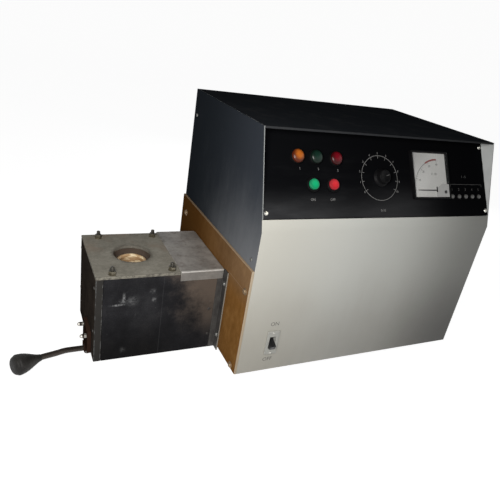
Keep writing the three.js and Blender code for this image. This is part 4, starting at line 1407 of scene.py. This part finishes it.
# %% Tick tree
def tick_tree():
    sizes = ("Radius", "Start Angle", "Sweep", "Tick Length", "Tick Width", "Thickness")
    inputs = {"Carrier": "Geometry", "Count": "Int"}
    inputs.update({size: "Float" for size in sizes})
    inputs["Finish"] = "Material"
    tree, given, end = open_tree("set_ticks", inputs, "Ticks")

    def number(operation, first, second=0):
        return add_node(tree, "ShaderNodeMath", {0: first, 1: second}, operation=operation)[0]

    row = {"Offset": (0, 0, 0), "Count": given["Count"]}
    line = add_node(tree, "GeometryNodeMeshLine", row, mode="OFFSET")
    index = add_node(tree, "GeometryNodeInputIndex", {})[0]
    gaps = number("MAXIMUM", number("SUBTRACT", given["Count"], 1), 1)
    turned_by = number("MULTIPLY", number("DIVIDE", index, gaps), given["Sweep"])
    angle = number("SUBTRACT", given["Start Angle"], turned_by)
    across = number("MULTIPLY", number("COSINE", angle), given["Radius"])
    up = number("MULTIPLY", number("SINE", angle), given["Radius"])
    place = add_node(tree, "ShaderNodeCombineXYZ", {"X": across, "Y": up})
    points = add_node(tree, "GeometryNodeSetPosition", {"Geometry": line[0], "Position": place[0]})
    turn = add_node(tree, "ShaderNodeCombineXYZ", {"Z": angle})
    rotation = add_node(tree, "FunctionNodeEulerToRotation", {0: turn[0]})
    lengths = {"X": given["Tick Length"], "Y": given["Tick Width"], "Z": given["Thickness"]}
    size = add_node(tree, "ShaderNodeCombineXYZ", lengths)
    tick = add_node(tree, "GeometryNodeMeshCube", {"Size": size[0]})
    sockets = {"Points": points[0], "Instance": tick[0], "Rotation": rotation[0]}
    copies = add_node(tree, "GeometryNodeInstanceOnPoints", sockets)
    return close_tree(tree, end, copies[0], given["Finish"])


TICK_TREE = tick_tree()
INK_HEIGHT = 0.12
INK_FLOAT = 0.03


def ticks(count, radius, start, sweep, length, width, finish):
    """Ticks on an arc that runs clockwise from its start, with angles in radians."""
    values = {
        "Count": count,
        "Radius": float(radius),
        "Start Angle": start,
        "Sweep": sweep,
        "Tick Length": float(length),
        "Tick Width": float(width),
        "Thickness": INK_HEIGHT,
        "Finish": finish,
    }
    return lifted(run_tree(TICK_TREE, bpy.data.meshes.new("carrier"), values), INK_HEIGHT)


print("tick tree ready")


# %% Arcs and lettering
def arc_band(name, radius, width, start, end, low):
    """A flat printed arc between two angles, in radians."""
    steps = 96
    angles = [start + (end - start) * i / steps for i in range(steps + 1)]
    outline = [polar(radius + width / 2, a) for a in angles]
    outline += [polar(radius - width / 2, a) for a in reversed(angles)]
    return prism(name, outline, low, low + INK_HEIGHT)


def lettering(text, size, u, v, w=INK_FLOAT):
    """Plain text as a thin mesh, centred on a place."""
    font = bpy.data.curves.new("lettering", "FONT")
    font.body = text
    font.size = size
    font.align_x = "CENTER"
    font.align_y = "CENTER"
    font.resolution_u = 3
    font.extrude = INK_HEIGHT / 2
    holder = bpy.data.objects.new("lettering", font)
    scene.collection.objects.link(holder)
    mesh = evaluated_mesh(holder)
    bpy.data.objects.remove(holder)
    return placed(mesh, Matrix.Translation((u, v, w + INK_HEIGHT / 2)))


print("prints float", INK_FLOAT, "mm above their face")

# %% Scale round the knob
SCALE_RADIUS, SCALE_LINE = 47.3, 0.9
inner, outer = SCALE_RADIUS - SCALE_LINE / 2, SCALE_RADIUS + SCALE_LINE / 2
low, high = INK_FLOAT, INK_FLOAT + INK_HEIGHT
sweep = math.radians(SCALE_SWEEP)
knob_prints = [
    turned("ring", [(inner, low), (outer, low), (outer, high), (inner, high)], 96, closed=True),
    ticks(SCALE_STEPS + 1, SCALE_RADIUS - 3, scale_angle(0), sweep, 6, 0.8, WHITE_INK),
]
for reading in range(SCALE_STEPS + 1):
    knob_prints.append(lettering(str(reading), 6.5, *polar(SCALE_RADIUS + 5, scale_angle(reading))))
scale_print = joined("knob_scale", *knob_prints)
piece("knob_scale", scale_print, WHITE_INK, place=knob_spot)
print("knob scale:", len(scale_print.polygons), "faces")

# %% [markdown]
# The lamps, buttons and fault lamps carry plain generic marks only: ON and OFF at the buttons and the
# switch, numbers at the lamps, and a bracket line over the row of fault lamps.

# %% Panel marks
marks = [lettering(str(number), 7, u + 6, v - 23) for number, (_, u, v, _) in enumerate(LAMPS, 1)]
marks += [lettering(text, 7, u, v - 29) for text, (_, u, v, _) in zip(("ON", "OFF"), BUTTONS)]
marks.append(lettering("0-10", 7, KNOB_U + 2, 14.5))
piece("panel_marks", joined("panel_marks", *marks), WHITE_INK, place=ON_PANEL)

row_end = FAULT_U + (FAULT_COUNT - 1) * FAULT_PITCH
line_v, line_width = FAULT_V + 28, 0.7
line_from, line_to = FAULT_U - 2, row_end + 14
faint = []
for i in range(FAULT_COUNT):
    faint.append(lettering(str(i + 1), 8.5, FAULT_U + i * FAULT_PITCH + 2.5, FAULT_V + 16.3))
faint.append(slab("line", (line_from, line_v, low), (line_to, line_v + line_width, high)))
for u in (line_from, line_to - line_width):
    faint.append(slab("line", (u, line_v - 5, low), (u + line_width, line_v, high)))
faint.append(lettering("1 - 5", 8, (FAULT_U + row_end) / 2, 90.6))
piece("fault_marks", joined("fault_marks", *faint), FAINT_INK, place=ON_PANEL)
print("panel marks:", len(marks), "white,", len(faint), "faint")

# %% [markdown]
# ## Meter
# A moving-coil meter: black case with a bevelled frame, card dial with an arc that ends in a red stretch,
# a thin needle that rests at zero, a clear window, and a quarter-round cover over the movement with the
# zero screw in it. Dial, prints and needle are separate thin layers, so the needle swings over the print
# and under the window.

# %% Meter's case and dial
NEEDLE_U, NEEDLE_V, NEEDLE_LENGTH = 445, 58, 60
DIAL_TOP = 2.9
ARC_RADIUS, RED_SHARE = 69, 0.67
LEFTWARD, UPWARD = math.radians(180), math.radians(90)
QUARTER = LEFTWARD - UPWARD
case = refined("meter_case", 0.9, 3)
piece("meter_frame", case, DEEP_PLASTIC, stands_for=["meter_case"])
pivot_spot = ON_PANEL @ Matrix.Translation((NEEDLE_U, NEEDLE_V, 0))
red_from = UPWARD + QUARTER * (1 - RED_SHARE)
on_card = DIAL_TOP + INK_FLOAT
dial_prints = [
    arc_band("arc", ARC_RADIUS, 0.8, LEFTWARD, red_from, on_card),
    lifted(ticks(5, ARC_RADIUS - 3, LEFTWARD, QUARTER, 6, 0.7, DIAL_INK), DIAL_TOP),
    lifted(ticks(21, ARC_RADIUS - 1.8, LEFTWARD, QUARTER, 3.6, 0.4, DIAL_INK), DIAL_TOP),
]
for i in range(5):
    spot = polar(ARC_RADIUS - 11, LEFTWARD - QUARTER * i / 4)
    dial_prints.append(lettering(str(10 * i), 6.5, *spot, on_card))
dial_prints.append(lettering("0 - 50", 6.5, -10, 36.5, on_card))
piece("meter_scale", joined("meter_scale", *dial_prints), DIAL_INK, place=pivot_spot)
red_arc = arc_band("red_arc", ARC_RADIUS, 3.4, red_from, UPWARD, DIAL_TOP + 0.05)
piece("meter_red_arc", red_arc, RED_INK, place=pivot_spot)
print("meter's arc radius", ARC_RADIUS, "mm")

# %% Needle
half_width, tail, taper_from = 1.3, 7, 6 - NEEDLE_LENGTH
blade_outline = [
    (tail, -half_width),
    (tail, half_width),
    (taper_from, half_width * 0.8),
    (-NEEDLE_LENGTH, 0),
    (taper_from, -half_width * 0.8),
]
blade = prism("needle", blade_outline, 3.7, 4.2, 0.08)
hub = turned("hub", [(0, 3.4), (4.4, 3.4), (4.4, 4.4), (3.6, 4.8), (0, 4.8)], 32)
needle = joined("needle", blade, hub)
piece("needle_blade", needle, BLACK_PLASTIC, "meter_needle", ["meter_needle"], pivot_spot)
print("needle of", NEEDLE_LENGTH, "mm")

# %% Movement cover and zero screw
METER_U, METER_V, METER_WIDE, METER_HIGH, METER_INSET = 421.8, 91.5, 107, 106, 4
COVER_LEFT, COVER_HIGH, COVER_ROUND = 432.8, 71.6, 24
COVER_LOW, COVER_FACE = 8.25, 8.45
right_edge, low_edge = METER_U + METER_WIDE / 2 - METER_INSET, METER_V - METER_HIGH / 2 + METER_INSET
outline = [(right_edge, low_edge), (right_edge, COVER_HIGH)]
for i in range(25):
    across, up = polar(COVER_ROUND, UPWARD + QUARTER * i / 24)
    outline.append((COVER_LEFT + COVER_ROUND + across, COVER_HIGH - COVER_ROUND + up))
outline.append((COVER_LEFT, low_edge))
cover = prism("movement_cover", outline, COVER_LOW, COVER_FACE, 0.08)
piece("movement_cover", cover, COVER_PLASTIC, place=ON_PANEL)
bar_low = (COVER_LEFT + 0.4, NEEDLE_V - 5, COVER_FACE)
bar_high = (COVER_LEFT + 3.4, NEEDLE_V + 7, COVER_FACE + 0.45)
piece("cover_bar", slab("stop_bar", bar_low, bar_high, 0.15), DEEP_PLASTIC, place=ON_PANEL)
zero = "meter_zero_screw"
piece("zero_screw", refined(zero, 0.25), BLACK_PLASTIC, zero, [zero])
print("cover is", round(right_edge - COVER_LEFT, 1), "mm wide")

# %% [markdown]
# ## Mode switch
# A grey plate with a black paddle on the lower front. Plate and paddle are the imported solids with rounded
# edges, and two small screws and plain marks are added.

# %% Switch
SWITCH_X, SWITCH_Z = 70, 72.5
plate, paddle = "mode_switch_body", "mode_switch_lever"
piece("switch_plate", refined(plate, 0.8, 3), GREY_PLASTIC, stands_for=[plate])
piece("switch_paddle", refined(paddle, 1.2, 3), BLACK_PLASTIC, paddle, [paddle])
face = IN_CABINET @ Matrix.Rotation(math.radians(90), 4, "X")
labels = [
    lettering("ON", 13, SWITCH_X, SWITCH_Z + 45),
    lettering("OFF", 13, SWITCH_X - 2, SWITCH_Z - 44),
]
piece("switch_marks", joined("switch_marks", *labels), GREY_INK, place=face)
plate_face, from_middle = -4, 25.3
heights = (SWITCH_Z - from_middle, SWITCH_Z + from_middle)
plate_screws = [(in_cabinet(SWITCH_X, plate_face, z), FRONT) for z in heights]
fasteners("switch_screws", cross_screw(2.2, 1.2), plate_screws, seed=2)

# %% [markdown]
# ## Melting box hardware
# Four studs hold the top board down, bolts hold the angles and the walls, and two long bolts with domed
# nuts stand out of the brown bracket on the end wall.

# %% Box fasteners
stud_places = [(-240, 130.5), (-239.5, 299), (-118.5, 133.5), (-118, 298)]
studs = [(in_cabinet(x, y, LID_TOP), UP) for x, y in stud_places]
fasteners("lid_studs", stud_and_nut(13.5, 7, 4, 16.5), studs, STUD_BRASS, 4)
angle_leg = local_box("box_angle_front")[0].x + 12.5
angle_bolts = [(in_cabinet(angle_leg, y, z), LEFT) for y in (106, 330) for z in (30, 160)]
fasteners("angle_bolts", cross_screw(4.2, 2.8, 6), angle_bolts, DULL_SCREW, 6)
box_back = local_box("box_rear_wall")[1].y
wall_screws = [(in_cabinet(x, BOX_FRONT, z), FRONT) for x, z in ((-30, 92), (-26, 26))]
wall_screws += [(in_cabinet(x, box_back, z), BACK) for x in (-246, -30) for z in (10, 150)]
wall_screws += [(in_cabinet(BOX_LEFT, y, z), LEFT) for y in (128, 308) for z in (60, 160)]
fasteners("wall_screws", cross_screw(3.0, 1.6), wall_screws, ANGLE_STEEL, 7)
bracket, bracket_face = "lever_bracket", -281.3
bracket_bolts = [(in_cabinet(bracket_face, y, z), LEFT) for y, z in ((157, 29), (196, 33))]
fasteners("bracket_bolts", long_bolt(10, 3, 9), bracket_bolts, DOMED_BOLT, 9)
piece("pivot_bracket", refined(bracket, 0.7), BRACKET_PHENOLIC, stands_for=[bracket])

# %% [markdown]
# ## Crucible
# The crucible is a glazed clay pot. It is turned again with a rounded lip and a smooth bowl, and its rim
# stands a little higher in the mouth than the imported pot's.

# %% Crucible
POT_BOTTOM = 43.3
RIM_RADIUS, BASE_RADIUS, POT_WALL, POT_FLOOR = 32, 27, 7, 9


def pot_mesh():
    """Up the outside from a rounded foot, over a round lip, and down the bowl to its floor."""
    foot, lip, bowl = 5, POT_WALL / 2, BASE_RADIUS - POT_WALL
    profile = [(0, POT_BOTTOM), (BASE_RADIUS - foot, POT_BOTTOM)]
    for i in range(1, 6):
        across, down = polar(foot, math.radians(90 - 18 * i))
        profile.append((BASE_RADIUS - foot + across, POT_BOTTOM + foot - down))
    for i in range(13):
        across, up = polar(lip, math.radians(15 * i))
        profile.append((RIM_RADIUS - lip + across, RIM_TOP - lip + up))
    for i in range(6):
        across, down = polar(bowl, math.radians(15 * i))
        profile.append((across, POT_BOTTOM + POT_FLOOR + bowl - down))
    profile.append((0, POT_BOTTOM + POT_FLOOR))
    return turned("pot", profile, 96)


well_spot = IN_CABINET @ Matrix.Translation((WELL_X, WELL_Y, 0))
piece("clay_pot", pot_mesh(), GLAZED_CLAY, "crucible", ["crucible"], well_spot)
print("rim at", RIM_TOP, "mm, lid at", round(LID_TOP), "mm")

# %% [markdown]
# The coil is a copper tube wound round the sleeve. Its centre line is a helix with two straight leads,
# and a round section swept along it makes the tube. A bevelled curve could do that too, but a mesh swept
# in code has closed ends, and the same function later makes the rod and the fan guard.


# %% Coil
def swept(name, points, radius, sides):
    """A closed round tube along a list of points, with its section carried along without twist."""

    def build(shape):
        ways = [(b - a).normalized() for a, b in zip(points, points[1:])]
        ways = [ways[0]] + [(a + b).normalized() for a, b in zip(ways, ways[1:])] + [ways[-1]]
        side = ways[0].orthogonal().normalized()
        rows = []
        for point, way in zip(points, ways):
            side = (side - way * side.dot(way)).normalized()
            other = way.cross(side)
            rows.append([shape.verts.new(point + x * side + y * other) for x, y in circle(radius, sides)])
        shape.faces.new(rows[0])
        shape.faces.new(rows[-1])
        skin(shape, zip(rows, rows[1:]), sides)

    return soften(new_mesh(name, build), 50)


COIL_RADIUS, COIL_BOTTOM, COIL_TOP, COIL_TURNS, LEAD_END = 53, 50, 150, 6.5, 45
TUBE_RADIUS = 4
coil_points = [Vector((LEAD_END, WELL_Y + COIL_RADIUS, COIL_BOTTOM))]
coil_steps = round(COIL_TURNS * 36)
for i in range(coil_steps + 1):
    angle = math.pi / 2 + 2 * math.pi * COIL_TURNS * i / coil_steps
    height = COIL_BOTTOM + (COIL_TOP - COIL_BOTTOM) * i / coil_steps
    across, along = polar(COIL_RADIUS, angle)
    coil_points.append(Vector((WELL_X + across, WELL_Y + along, height)))
coil_points.append(Vector((LEAD_END, WELL_Y - COIL_RADIUS, COIL_TOP)))
coil = swept("coil", coil_points, TUBE_RADIUS, 12)
piece("copper_coil", coil, COPPER_TUBE, stands_for=["induction_coil"], place=IN_CABINET)
print("coil of", COIL_TURNS, "turns,", len(coil.polygons), "faces")

# %% [markdown]
# ## Lift lever
# The rod is bent from round bar. Its route is a short list of points with a smooth curve through them,
# the same points as the solid's. A boss on it turns on the pin, and its ball lifts the crucible from
# below.

# %% Lever's rod
PIVOT = (-277, 180, -19)
LEVER_ROUTE = [
    (WELL_X, WELL_Y, -19),
    (-212, 208, -19),
    (-250, 184, -19),
    PIVOT,
    (-290, 178, -17.6),
    (-305, 172.5, -13.6),
    (-322.6, 164.2, -8),
    (-343, 154.7, -5),
    (-369.2, 142.3, -0.4),
    (-404, 125.8, 3.2),
]
ROD_RADIUS, TIP_RADIUS, TIP_DROP = 6, 6.8, 0.7


def smooth_route(points, steps=14):
    """Points on a centripetal Catmull-Rom curve through the given points."""
    points = [Vector(p) for p in points]
    points = [2 * points[0] - points[1], *points, 2 * points[-1] - points[-2]]
    made = []
    for p0, p1, p2, p3 in zip(points, points[1:], points[2:], points[3:]):
        knots = [0.0]
        for a, b in ((p0, p1), (p1, p2), (p2, p3)):
            knots.append(knots[-1] + (b - a).length ** 0.5)
        t0, t1, t2, t3 = knots
        for i in range(steps):
            t = t1 + (t2 - t1) * i / steps
            a1 = p0.lerp(p1, (t - t0) / (t1 - t0))
            a2 = p1.lerp(p2, (t - t1) / (t2 - t1))
            a3 = p2.lerp(p3, (t - t2) / (t3 - t2))
            b1 = a1.lerp(a2, (t - t0) / (t2 - t0))
            b2 = a2.lerp(a3, (t - t1) / (t3 - t1))
            made.append(b1.lerp(b2, (t - t1) / (t2 - t1)))
    made.append(points[-2])
    return made


rod = swept("rod", smooth_route(LEVER_ROUTE), ROD_RADIUS, 24)
along_pin = Matrix.Translation(PIVOT) @ Matrix.Rotation(math.radians(90), 4, "X")
boss_profile = [(0, -7.2), (6.4, -7.2), (7, -6.6), (7, 6.6), (6.4, 7.2), (0, 7.2)]
boss = placed(turned("boss", boss_profile, 32), along_pin)
pin_bore = placed(turned("bore", [(0, -12), (4.3, -12), (4.3, 12), (0, 12)], 32), along_pin)
ball = [polar(TIP_RADIUS, math.radians(15 * i - 90)) for i in range(1, 12)]
ball = [(0, -TIP_RADIUS), *ball, (0, TIP_RADIUS)]
tip_spot = Matrix.Translation(Vector(LEVER_ROUTE[0]) - Vector((0, 0, TIP_DROP)))
tip = placed(turned("tip", ball, 24), tip_spot)
lever = joined("rod", soften(carved(rod, pin_bore)), soften(carved(boss, pin_bore)), tip)
piece("lever_rod", lever, BLACK_ROD, "lift_lever", ["lift_lever"], IN_CABINET)
print("rod with", len(lever.polygons), "faces")

# %% [markdown]
# The grip is a club of black rubber, set in line with the rod's end. It is round, so it is one turned
# profile: a sine gives the swell, and a narrow wave cuts the faint grooves.

# %% Grip
GRIP_NECK, GRIP_END = Vector((-365, 144.3, -0.9)), Vector((-423.5, 116.5, 5))
GRIP_LENGTH, GRIP_RADIUS, NECK_RADIUS = 66, 22, 7.8


def grip_mesh():
    """A club of rubber: a short collar, a swelling body with faint grooves, and a smaller rounded end."""
    body_from, body_to, cap_from = 11, 53.5, 57.5
    body, cap = GRIP_RADIUS - 1.2, GRIP_RADIUS - 3.5
    profile = [(0, 7), (NECK_RADIUS - 1.4, 7), (NECK_RADIUS - 0.8, 7.6), (NECK_RADIUS - 0.4, body_from)]
    steps = 30
    for i in range(steps + 1):
        part = i / steps
        swell = math.sin(math.radians(90) * part) ** 1.2
        groove = 0
        if 0.3 < part < 0.95:
            groove = 0.35 * (0.5 + 0.5 * math.cos(2 * math.pi * part * 6)) ** 6
        reach = NECK_RADIUS + (body - NECK_RADIUS) * swell - groove
        profile.append((reach, body_from + 0.5 + part * (body_to - body_from)))
    profile += [(body - 0.6, body_to + 2), (cap + 0.8, cap_from - 0.6)]
    for i in range(11):
        angle = math.radians(90) * i / 10
        reach = cap * math.cos(angle) ** 0.6 if i < 10 else 0
        profile.append((reach, cap_from + (GRIP_LENGTH - 1.5 - cap_from) * math.sin(angle)))
    return turned("grip", profile)


along = (GRIP_END - GRIP_NECK).normalized()
grip_turn = Vector((0, 0, 1)).rotation_difference(along).to_matrix().to_4x4()
grip_spot = IN_CABINET @ Matrix.Translation(GRIP_NECK) @ grip_turn
piece("grip_handle", grip_mesh(), GRIP_RUBBER, "lift_lever", ["lever_grip"], grip_spot)
print("grip of", GRIP_LENGTH, "mm")

# %% [markdown]
# ## Feet, gland and rear
# Rubber feet are turned with a rounded sole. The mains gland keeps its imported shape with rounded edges,
# and a wire guard of rings and arms covers the fan at the rear.

# %% Feet
FOOT_RADIUS, FOOT_HEIGHT, FOOT_SIDE, FOOT_FRONT = 20, 34, 50, 75
foot_profile = [
    (0, -FOOT_HEIGHT),
    (FOOT_RADIUS - 4.2, -FOOT_HEIGHT),
    (FOOT_RADIUS - 3, -FOOT_HEIGHT + 1),
    (FOOT_RADIUS - 2.6, -FOOT_HEIGHT + 4),
    (FOOT_RADIUS - 0.4, -3),
    (FOOT_RADIUS - 0.6, -1),
    (FOOT_RADIUS - 1.6, -GAP),
    (0, -GAP),
]
for x, side in ((FOOT_SIDE, "left"), (CABINET_WIDTH - FOOT_SIDE, "right")):
    for y, end in ((FOOT_FRONT, "front"), (CABINET_DEPTH - FOOT_FRONT, "rear")):
        node = f"foot_{end}_{side}"
        foot = turned("foot", foot_profile, 48)
        spot = IN_CABINET @ Matrix.Translation((x, y, 0))
        piece(node + "_rubber", foot, FOOT_RUBBER, stands_for=[node], place=spot)
print("feet of", FOOT_HEIGHT, "mm")

# %% Gland and fan guard
gland = refined("cable_gland", 0.6)
piece("mains_gland", gland, BLACK_PLASTIC, stands_for=["cable_gland"])
FAN_X, FAN_Z, GUARD_REACH = 440, 330, 74


def behind_fan(radius, angle, out):
    """A point round the fan's axis, at a distance out from the rear sheet."""
    across, up = polar(radius, angle)
    return Vector((FAN_X + across, CABINET_DEPTH + out, FAN_Z + up))


arm_angles = [math.radians(45 + 90 * i) for i in range(4)]
guard = []
for radius in (14, 24, 34, 44, 54):
    ring = [behind_fan(radius, 2 * math.pi * i / 64, 3.2) for i in range(65)]
    guard.append(swept("ring", ring, 1.1, 8))
for angle in arm_angles:
    arm = [behind_fan(radius, angle, 1.4) for radius in (10, 40, GUARD_REACH)]
    guard.append(swept("arm", arm, 1.3, 8))
piece("fan_guard", joined("fan_guard", *guard), GUARD_WIRE, place=IN_CABINET)
guard_screws = [(tuple(IN_CABINET @ behind_fan(GUARD_REACH, angle, 2)), BACK) for angle in arm_angles]
fasteners("guard_screws", cross_screw(4, 2.2), guard_screws, seed=10)

# %% [markdown]
# ## Stage and light
# The object stands on a pale floor that sweeps up into a wall a few metres away. A world of plain white
# would be simpler, but it would light the object from all sides and take its shadow away.

# %% Stage
FLOOR_REACH, CURVE_RADIUS, WALL_TOP = 5.0, 1.2, 4.6
STAGE_GLOW = 0.95


def sweep_mesh():
    """A round floor that curves up into a wall, in metres, with its faces inward."""
    profile = [(0, 0), (FLOOR_REACH, 0)]
    for i in range(1, 13):
        out, up = polar(CURVE_RADIUS, math.radians(7.5 * i - 90))
        profile.append((FLOOR_REACH + out, CURVE_RADIUS + up))
    profile.append((FLOOR_REACH + CURVE_RADIUS, WALL_TOP))
    mesh = bpy.data.meshes.new("sweep")
    shape = bmesh.new()
    sides = 96
    rows = []
    for radius, height in profile:
        around = circle(radius, sides) if radius else [(0, 0)]
        rows.append([shape.verts.new((x, y, height)) for x, y in around])
    skin(shape, zip(rows[1:], rows), sides)
    shape.to_mesh(mesh)
    shape.free()
    mesh.shade_smooth()
    return mesh


def stage_white():
    """A pale floor that stays white to the eye and in reflections, and still shows the object's shadow."""
    paint = Paint("stage_white", Specular_IOR_Level=0.0, Roughness=0.9, Emission_Strength=STAGE_GLOW)
    path = paint.node("ShaderNodeLightPath", {}, {}).socket.node
    seen = Value(paint, path.outputs["Is Camera Ray"])
    seen = seen.math("MAXIMUM", Value(paint, path.outputs["Is Glossy Ray"]))
    seen = seen.math("MAXIMUM", Value(paint, path.outputs["Is Transmission Ray"]))
    paint.feed(paint.shader.inputs["Emission Color"], paint.blend(seen, (0, 0, 0), (1, 1, 1)))
    cloud = paint.noise(900, 2, 0.5)
    return paint.finish(paint.blend(cloud, (0.36, 0.36, 0.36), (0.38, 0.38, 0.38)))


sweep_object = bpy.data.objects.new("stage_sweep", sweep_mesh())
sweep_object.data.materials.append(stage_white())
scene.collection.objects.link(sweep_object)
print("stage reaches", FLOOR_REACH + CURVE_RADIUS, "m")

# %% [markdown]
# Most light comes from one large soft lamp near the camera, as in the picture, where the left of the
# front is bright and the right falls off. A dim sky fills the shadows, and a weak lamp behind keeps the
# rear readable.

# %% Lights
world = bpy.data.worlds.new("studio")
scene.world = world
world.use_nodes = True
sky = world.node_tree.nodes["Background"]
sky.inputs["Color"].default_value = (0.95, 0.98, 1.0, 1)
sky.inputs["Strength"].default_value = 0.07


def soft_lamp(name, place, aim, size, power, colour=(1, 1, 1)):
    """A square soft lamp; place and aim are in millimetres from the cabinet's corner."""
    data = bpy.data.lights.new(name, "AREA")
    data.shape = "SQUARE"
    data.size = size
    data.energy = power
    data.color = colour
    lamp = bpy.data.objects.new(name, data)
    lamp.location = IN_CABINET @ Vector(place)
    way = (IN_CABINET @ Vector(aim)) - lamp.location
    lamp.rotation_euler = way.to_track_quat("-Z", "Y").to_euler()
    scene.collection.objects.link(lamp)


soft_lamp("key_lamp", (-420, -560, 660), (100, 150, 220), 0.36, 9.2, (1.0, 0.985, 0.96))
soft_lamp("rear_lamp", (1300, 1500, 500), (400, 400, 250), 1.2, 5)
print("lights:", len(bpy.data.lights))

# %% [markdown]
# ## View

# %% Finish
scene.view_settings.view_transform = "Standard"
